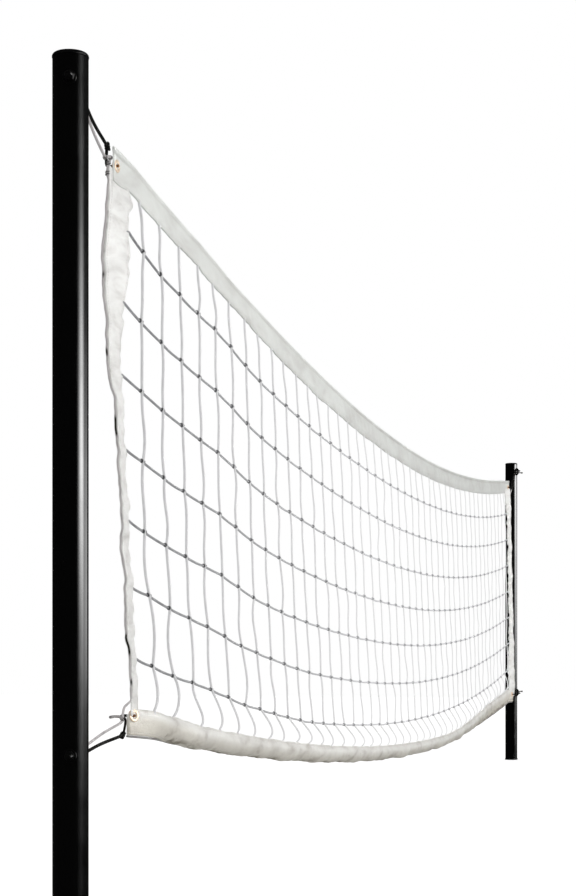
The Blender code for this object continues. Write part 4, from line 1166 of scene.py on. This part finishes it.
# %% [markdown]
# ## Grommets
# A grommet is two pressed brass halves: a barrel with a rounded flange in front, and a washer at the back.
# Both are turned profiles, set square to the tape where the tie has pulled it round.
# %% Grommets
BORE_R = 0.0095 / 2
BARREL_R = BORE_R + 0.0008
RIM_R = 0.0185 / 2
FACE = PINCH_HALF + PLY + GAP
OUTER = FACE + 0.001
NEAR_TOP_TURN = 0.25
EYELET = [
    (BORE_R, -OUTER), (BARREL_R, -OUTER), (BARREL_R, FACE), (RIM_R - 0.0002, FACE), (RIM_R, FACE + 0.0002),
    (RIM_R - 0.0004, OUTER - 0.0003), (RIM_R - 0.0012, OUTER), (BORE_R + 0.0016, OUTER),
    (BORE_R + 0.0006, OUTER - 0.0002), (BORE_R, OUTER - 0.0007), (BORE_R, -OUTER),
]
RING = [
    (BARREL_R + GAP, -FACE), (BARREL_R + GAP, -OUTER + 0.0003), (BARREL_R + 0.0006, -OUTER),
    (RIM_R - 0.0006, -OUTER), (RIM_R, -OUTER + 0.0005), (RIM_R, -FACE), (BARREL_R + GAP, -FACE),
]
spots = {}
for corner, (along, depth, turn) in GROMMETS.items():
    side, place = corner.split("_")
    tape = {"top": head, "bottom": foot}[place]
    turn = math.radians(turn) * (NEAR_TOP_TURN if corner == "near_top" else 1.0)
    edge, across, normal, slot = tape.edge_frame(along)
    centre = edge + across * (depth + (look_up(HEAD_RISE, along) if place == "top" else 0.0))
    spots[corner] = (centre, travel_way(turn) * {"near": -1, "far": 1}[side], front_way(turn))
    for name, profile in (("eyelet", EYELET), ("ring", RING)):
        half = Skin()
        half.turned(profile, 48, centre, front_way(turn))
        dress(half.build(f"{corner}_brass_{name}", [brass]), "net", f"{corner}_{name}")
print("grommets at", {corner: [round(float(v), 3) for v in spot[0]] for corner, spot in spots.items()})

# %% [markdown]
# ## Ties
# Black cord ties each corner to its eye. Its knots are real turns of cord round the standing part.
# The path of each tie is given from point to point: a simulated rope would need the knots as well.
# It is drawn 4.8 mm thick, a little under its node's 6 mm, as a cord that is pulled tight.
# The ties cross from the poles to the net.
# A point that is swollen past 1 is a knot, and gets a coil.
# %% Ties
TIE_R = TIE_D * 0.4
BORE_RUN = 0.006
END_KNOT = 0.0115
TIE_ROUTES = {
    "near_top": ([(0.1, 0.004, 1.1485, 1), (0.152, 0.0035, 1.1325, 1), (0.158, 0.0035, 1.13, 1.15),
                  (0.163, 0.006, 1.1265, 1)], -1, (0.05, 0.01, -0.035)),
    "near_bottom": ([(0.13, 0.004, 0.2835, 1), (0.214, 0.002, 0.2918, 1), (0.22, 0.002, 0.2925, 1.15),
                     (0.2265, 0.002, 0.2965, 0.8), (0.243, 0.005, 0.314, 0.8)], -1, (0.05, 0.0, 0.03)),
    "far_top": ([(5.06, -0.013, 1.133, 1), (5.05, -0.013, 1.123, 1.3), (5.042, -0.013, 1.118, 1)], 1,
                (-0.05, 0.0, -0.03)),
    "far_bottom": ([(5.09, -0.022, 0.263, 1), (5.084, -0.022, 0.261, 1.3), (5.077, -0.023, 0.261, 1)], 1,
                   (-0.05, 0.0, 0.0)),
}


def eye_pass(side, level, tilt, diameter, knot, swell):
    """A cord's way through an eye: a stop knot behind it, then the bore, lying on the rim at the tilt."""
    turn = EYE_TURN[side]
    out = np.array([math.cos(turn), math.sin(turn), 0.0])
    through = np.array([-math.sin(turn), math.cos(turn), 0.0])
    rest = (EYE_BORE - diameter) / 2 - GAP
    hole = np.array([POLE_X[side], 0, EYE_Z[level] + rest * math.sin(tilt)])
    hole = hole + out * (EYE_OUT + rest * math.cos(tilt))
    steps = [(knot + 0.0035, 0.6), (knot, swell), (knot - 0.004, 1.0), (0.0, 1.0), (-0.009, 1.0)]
    return [(*(hole + through * step), size) for step, size in steps]


for corner, (bends, face, knot_way) in TIE_ROUTES.items():
    side, place = corner.split("_")
    level, tilt = {"top": ("upper", 45), "bottom": ("lower", -45)}[place]
    centre, outward, face_way = spots[corner]
    centre = centre + outward * (BORE_R * 0.975 - TIE_D / 2 - GAP)
    entry = [(*(centre + outward * out + face_way * face * step), 0.9)
             for out, step in ((0.015, 0.008), (0.003, 0.0095), (0.0, 0.004), (0.0, -0.0045))]
    route = spline(eye_pass(side, level, math.radians(tilt), TIE_D, END_KNOT, 1.45) + bends + entry, 0.003)
    # The cord is painted tan within 6 mm of the grommet's centre, where it lies in the brass bore.
    in_bore = np.clip(1 - np.linalg.norm(route[:, :3] - centre, axis=1) / BORE_RUN, 0, 0.5) * 2
    tie = Skin()
    tie.tube(route[:, :3], route[:, 3] * TIE_R, 12, mark=in_bore)
    for knot in [bend[:3] for bend in bends if bend[3] > 1]:
        tie.tube(coil(knot, knot_way, TIE_R * 1.1, 2.3, 0.011, 12), TIE_R * 0.72, 10)
    made = tie.build(f"{corner}_black_tie", [TIE_PAINT], 70.0)
    dress(made, None, f"{corner}_tie")
    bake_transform(made)
    print(corner, "tie", round(float(run_along(route[:, :3])[-1]), 3), "m long")

# %% [markdown]
# ## Side cords
# A thinner grey cord runs down each side tape's outer edge and is made fast to the upper and the lower eye.
# It is painted dark as shade where it comes out of the tape's gathers, and stays pale where the vinyl lies
# against it.
# It is swept along the tape's own edge, so that it follows every gather without a simulation.
# %% Routes of the side cords
CORD_R = ROPE_D["side"] / 2
CORD_END_KNOT = 0.0225
ALONG_TAPE = 0.72
MARK_RUN = 0.004
CORD_TOP = {
    "near": [(0.095, 0.0, 1.129, 1), (0.128, -0.002, 1.11, 1.0), (0.133, -0.002, 1.108, 1.2),
             (0.141, -0.004, 1.111, 1.0), (0.15, -0.004, 1.112, 1.2), (0.1545, 0.0, 1.106, 1.2),
             (0.1565, 0.002, 1.1, 1.0), (0.159, 0.0035, 1.093, 1.2)],
    "far": [(5.07, -0.016, 1.115, 1), (5.04, -0.01, 1.086, 1)],
}
CORD_FOOT = {
    "near": [(0.233, 0.003, 0.333, 1), (0.219, 0.001, 0.322, 1.0), (0.213, 0.0, 0.317, 1.3),
             (0.206, 0.0, 0.311, 1.0), (0.13, 0.001, 0.2985, 1)],
    "far": [(5.086, -0.0215, 0.2795, 1)],
}
KNOT_WAYS = [
    (0.02, -0.005, 0.02), (0.03, 0.0, 0.005), (0.01, 0.0, -0.03), (0.0, 0.0, -0.03), (0.01, 0.0, 0.03),
]
DARK_SPANS = {
    "near": [(0.955, 0.945), (0.845, 0.832), (0.753, 0.722), (0.442, 0.408), (0.375, 0.364)],
    "far": [(1.2, 1.09), (0.9, 0.86), (0.7, 0.66), (0.55, 0.48), (0.3, 0.25)],
}
TAIL = [
    (0.213, 0.0, 0.3175, 1), (0.196, -0.001, 0.3205, 1), (0.175, -0.001, 0.3212, 1),
    (0.158, -0.001, 0.3208, 1),
]
print("the near cord has", len(CORD_TOP["near"]), "bends above its tape")


# %% Side cords laid
def along_tape(side):
    """The cord's points beside the tape's outer edge."""
    points = []
    for fall in np.linspace(0.0, 1.0, 120):
        edge, across, normal, half = sides[side].edge_frame(fall)
        outward = -across / np.linalg.norm(across)
        points.append((*(edge + outward * (CORD_R + GAP) + normal * side_crease(fall, 0.0)), ALONG_TAPE))
    return points


for side in POLE_X:
    upper = eye_pass(side, "upper", math.radians(-45), ROPE_D["side"], CORD_END_KNOT, 1.8)
    lower = eye_pass(side, "lower", math.radians(45), ROPE_D["side"], CORD_END_KNOT, 1.8)
    route = spline(upper + CORD_TOP[side] + along_tape(side) + CORD_FOOT[side] + lower[::-1], 0.003)
    # The dark spans are painted shade where the cord comes out of the tape's gathers.
    dark = np.zeros(len(route))
    for high, low in DARK_SPANS[side]:
        below = np.clip((high - route[:, 2]) / MARK_RUN, 0, 1)
        dark = np.maximum(dark, below * np.clip((route[:, 2] - low) / MARK_RUN, 0, 1))
    cord = Skin()
    cord.tube(route[:, :3], route[:, 3] * CORD_R, 10, mark=dark)
    # The cord's knots are painted darker as shade, and the near tail is painted darker too.
    swollen = [bend[:3] for bend in CORD_TOP[side] + CORD_FOOT[side] if bend[3] > 1]
    for knot, way in zip(swollen, KNOT_WAYS):
        cord.tube(coil(knot, way, CORD_R * 1.05, 2.0, 0.0065, 12), CORD_R * 0.6, 8, mark=0.75)
    if side == "near":
        cord.tube(spline(TAIL)[:, :3], CORD_R * 1.1, 10, mark=0.45)
    made = cord.build(f"{side}_side_cord_braid", [CORD_PAINT], 70.0)
    dress(made, None, f"{side}_side_cord")
    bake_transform(made)
    print(side, "side cord", round(float(run_along(route[:, :3])[-1]), 2), "m long")

# %% [markdown]
# ## Cut sizes
# lay_tape measures each tape as the flat strip that it was cut from; the long tapes' sizes are printed where
# they are laid.
# The long tapes hang from their edges, and the side tapes are gathered on their cords.
# %% Cloth
print("four strips laid")

# %% [markdown]
# ## Camera
# The camera stands at the height of a seated eye, beside the near pole, and looks almost along the net.
# It is kept level and its frame is shifted up instead, so that both poles stay upright.
# %% Camera
camera_data = bpy.data.cameras.new("camera")
camera_data.lens = 73.0
camera_data.sensor_width = 36.0
camera_data.shift_y = 0.2385
camera_data.clip_start = 0.05
camera = bpy.data.objects.new("camera", camera_data)
bpy.context.collection.objects.link(camera)
camera.location = (-2.2877, -0.8485, 0.3995)
camera.rotation_euler = Vector((0.97228, 0.23384, 0.0)).to_track_quat("-Z", "Y").to_euler()
bpy.context.scene.camera = camera
bpy.context.scene.view_settings.view_transform = "Standard"
print("camera", tuple(round(v, 3) for v in camera.location), "lens", camera_data.lens, "mm")

# %% [markdown]
# ## Floor
# The floor is a plain pale sheet that catches the net's shadow. Some glow to the camera alone makes it as
# white as the backdrop, with no more light on the net. Gloss sees it dark, so that the poles stay black.
# %% Floor
FLOOR_GLOW = 0.48
FLOOR_Z = -0.001
floor_skin = Skin()
floor_rows = [[(x, y, FLOOR_Z) for x in (-14, 18)] for y in (-14, 14)]
floor_skin.grid(floor_rows, [0, 28], [0, 32])
white_floor, tree, shader, place = surface("white_painted_floor", Roughness=0.8, Specular_IOR_Level=0.0,
                                           Emission_Color=to_linear("#ffffff"))
rays = add(tree, "LightPath").node.outputs
grit = add(tree, "TexNoise", {"Vector": place, "Scale": 1 / 0.01, "Detail": 3.0})
add(tree, "Bump", {"Height": grit, "Distance": 0.0002, "Strength": 0.2}, to=shader["Normal"])
add(tree, "ValToRGB", (rays["Is Glossy Ray"],), [(0.0, "#d8d8d8"), (1.0, "#262626")], to=shader["Base Color"])
add(tree, "Math", (rays["Is Camera Ray"], FLOOR_GLOW), operation="MULTIPLY", to=shader["Emission Strength"])
floor_skin.build("floor", [white_floor])
print("floor material:", white_floor.name)

# %% [markdown]
# ## Studio
# The world is white to the camera and soft white to the cloth. Gloss surfaces see a dark studio with one
# bright window in front of the net, a dimmer one beside it and a faint glow, which draw the stripe down
# the pole. Windows painted on the world give one clean stripe, where lamps would give a row of spots.
# %% World
SOFT_LIGHT = 0.85
world = bpy.data.worlds.new("studio")
bpy.context.scene.world = world
world.use_nodes = True
tree = world.node_tree
tree.nodes.remove(tree.nodes["Background"])
way = add(tree, "TexCoord", output="Generated")
height = add(tree, "Math", (add(tree, "SeparateXYZ", (way,), output="Z"), 0.5), operation="ADD")


def window(turn, sides, panes, strength):
    """A window of the given strength: turn in degrees from the front, its soft sides, and light by height."""
    facing = (math.sin(math.radians(turn)), -math.cos(math.radians(turn)), 0.0)
    match = add(tree, "VectorMath", (way, facing), operation="DOT_PRODUCT", output="Value")
    lit = strength
    for factor, stops in ((match, sides), (height, panes)):
        lit = add(tree, "Math", (lit, add(tree, "ValToRGB", (factor,), stops)), operation="MULTIPLY")
    return lit


wall = window(2.5, [(0.87, 0.0), (0.93, 0.16), (0.965, 0.5), (0.992, 1.0)],
              [(0.4, 0.004), (0.44, 0.008), (0.47, 0.02), (0.506, 0.07), (0.534, 0.2), (0.589, 0.75),
               (0.644, 1.0), (0.671, 0.66), (0.699, 0.33), (0.721, 0.18), (0.743, 0.09), (0.78, 0.035),
               (0.84, 0.01)], 46.0)
for other in (window(32.0, [(0.84, 0.0), (0.95, 1.0)],
                     [(0.38, 0.01), (0.42, 0.04), (0.45, 0.12), (0.48, 0.32), (0.506, 0.75), (0.534, 1.0),
                      (0.589, 0.9), (0.62, 0.5), (0.644, 0.24), (0.671, 0.07), (0.7, 0.01)], 6.8),
              window(35.0, [(0.55, 0.01), (0.95, 0.05)], [(0.45, 0.5), (0.7, 1.0)], 1.0)):
    wall = add(tree, "Math", (wall, other), operation="ADD")
white = to_linear("#ffffff")
soft, studio, clear = (add(tree, "Background", (white, strength)) for strength in (SOFT_LIGHT, wall, 1.0))
rays = add(tree, "LightPath").node.outputs
seen = add(tree, "Math", (rays["Is Camera Ray"], rays["Is Transmission Ray"]), operation="MAXIMUM")
light = add(tree, "MixShader", (rays["Is Glossy Ray"], soft, studio))
add(tree, "MixShader", (seen, light, clear), to=tree.nodes["World Output"].inputs["Surface"])
print("world ready:", world.name)

# %% [markdown]
# ## Lamps
# Three wide soft boxes light the net from front and top, at a level at which white cloth stays below white.
# They are hidden from gloss, which has its own windows above.
# %% Lamps
def soft_light(name, place, target, width, height, power):
    lamp = bpy.data.lights.new(name, "AREA")
    lamp.shape = "RECTANGLE"
    lamp.size = width
    lamp.size_y = height
    lamp.energy = power
    made = bpy.data.objects.new(name, lamp)
    bpy.context.collection.objects.link(made)
    made.location = place
    made.rotation_euler = (Vector(target) - Vector(place)).to_track_quat("-Z", "Z").to_euler()
    made.visible_glossy = False


soft_light("side_box", (0.6, -2.6, 1.6), (0.6, 0, 0.7), 2.0, 1.2, 15)
soft_light("long_box", (3.4, -3.2, 2.2), (3.2, 0, 0.6), 4.0, 1.2, 9)
soft_light("top_box", (1.8, 0.6, 3.4), (1.8, 0, 0.5), 4.5, 1.5, 18)
print("lamps:", [light.name for light in bpy.data.lights])
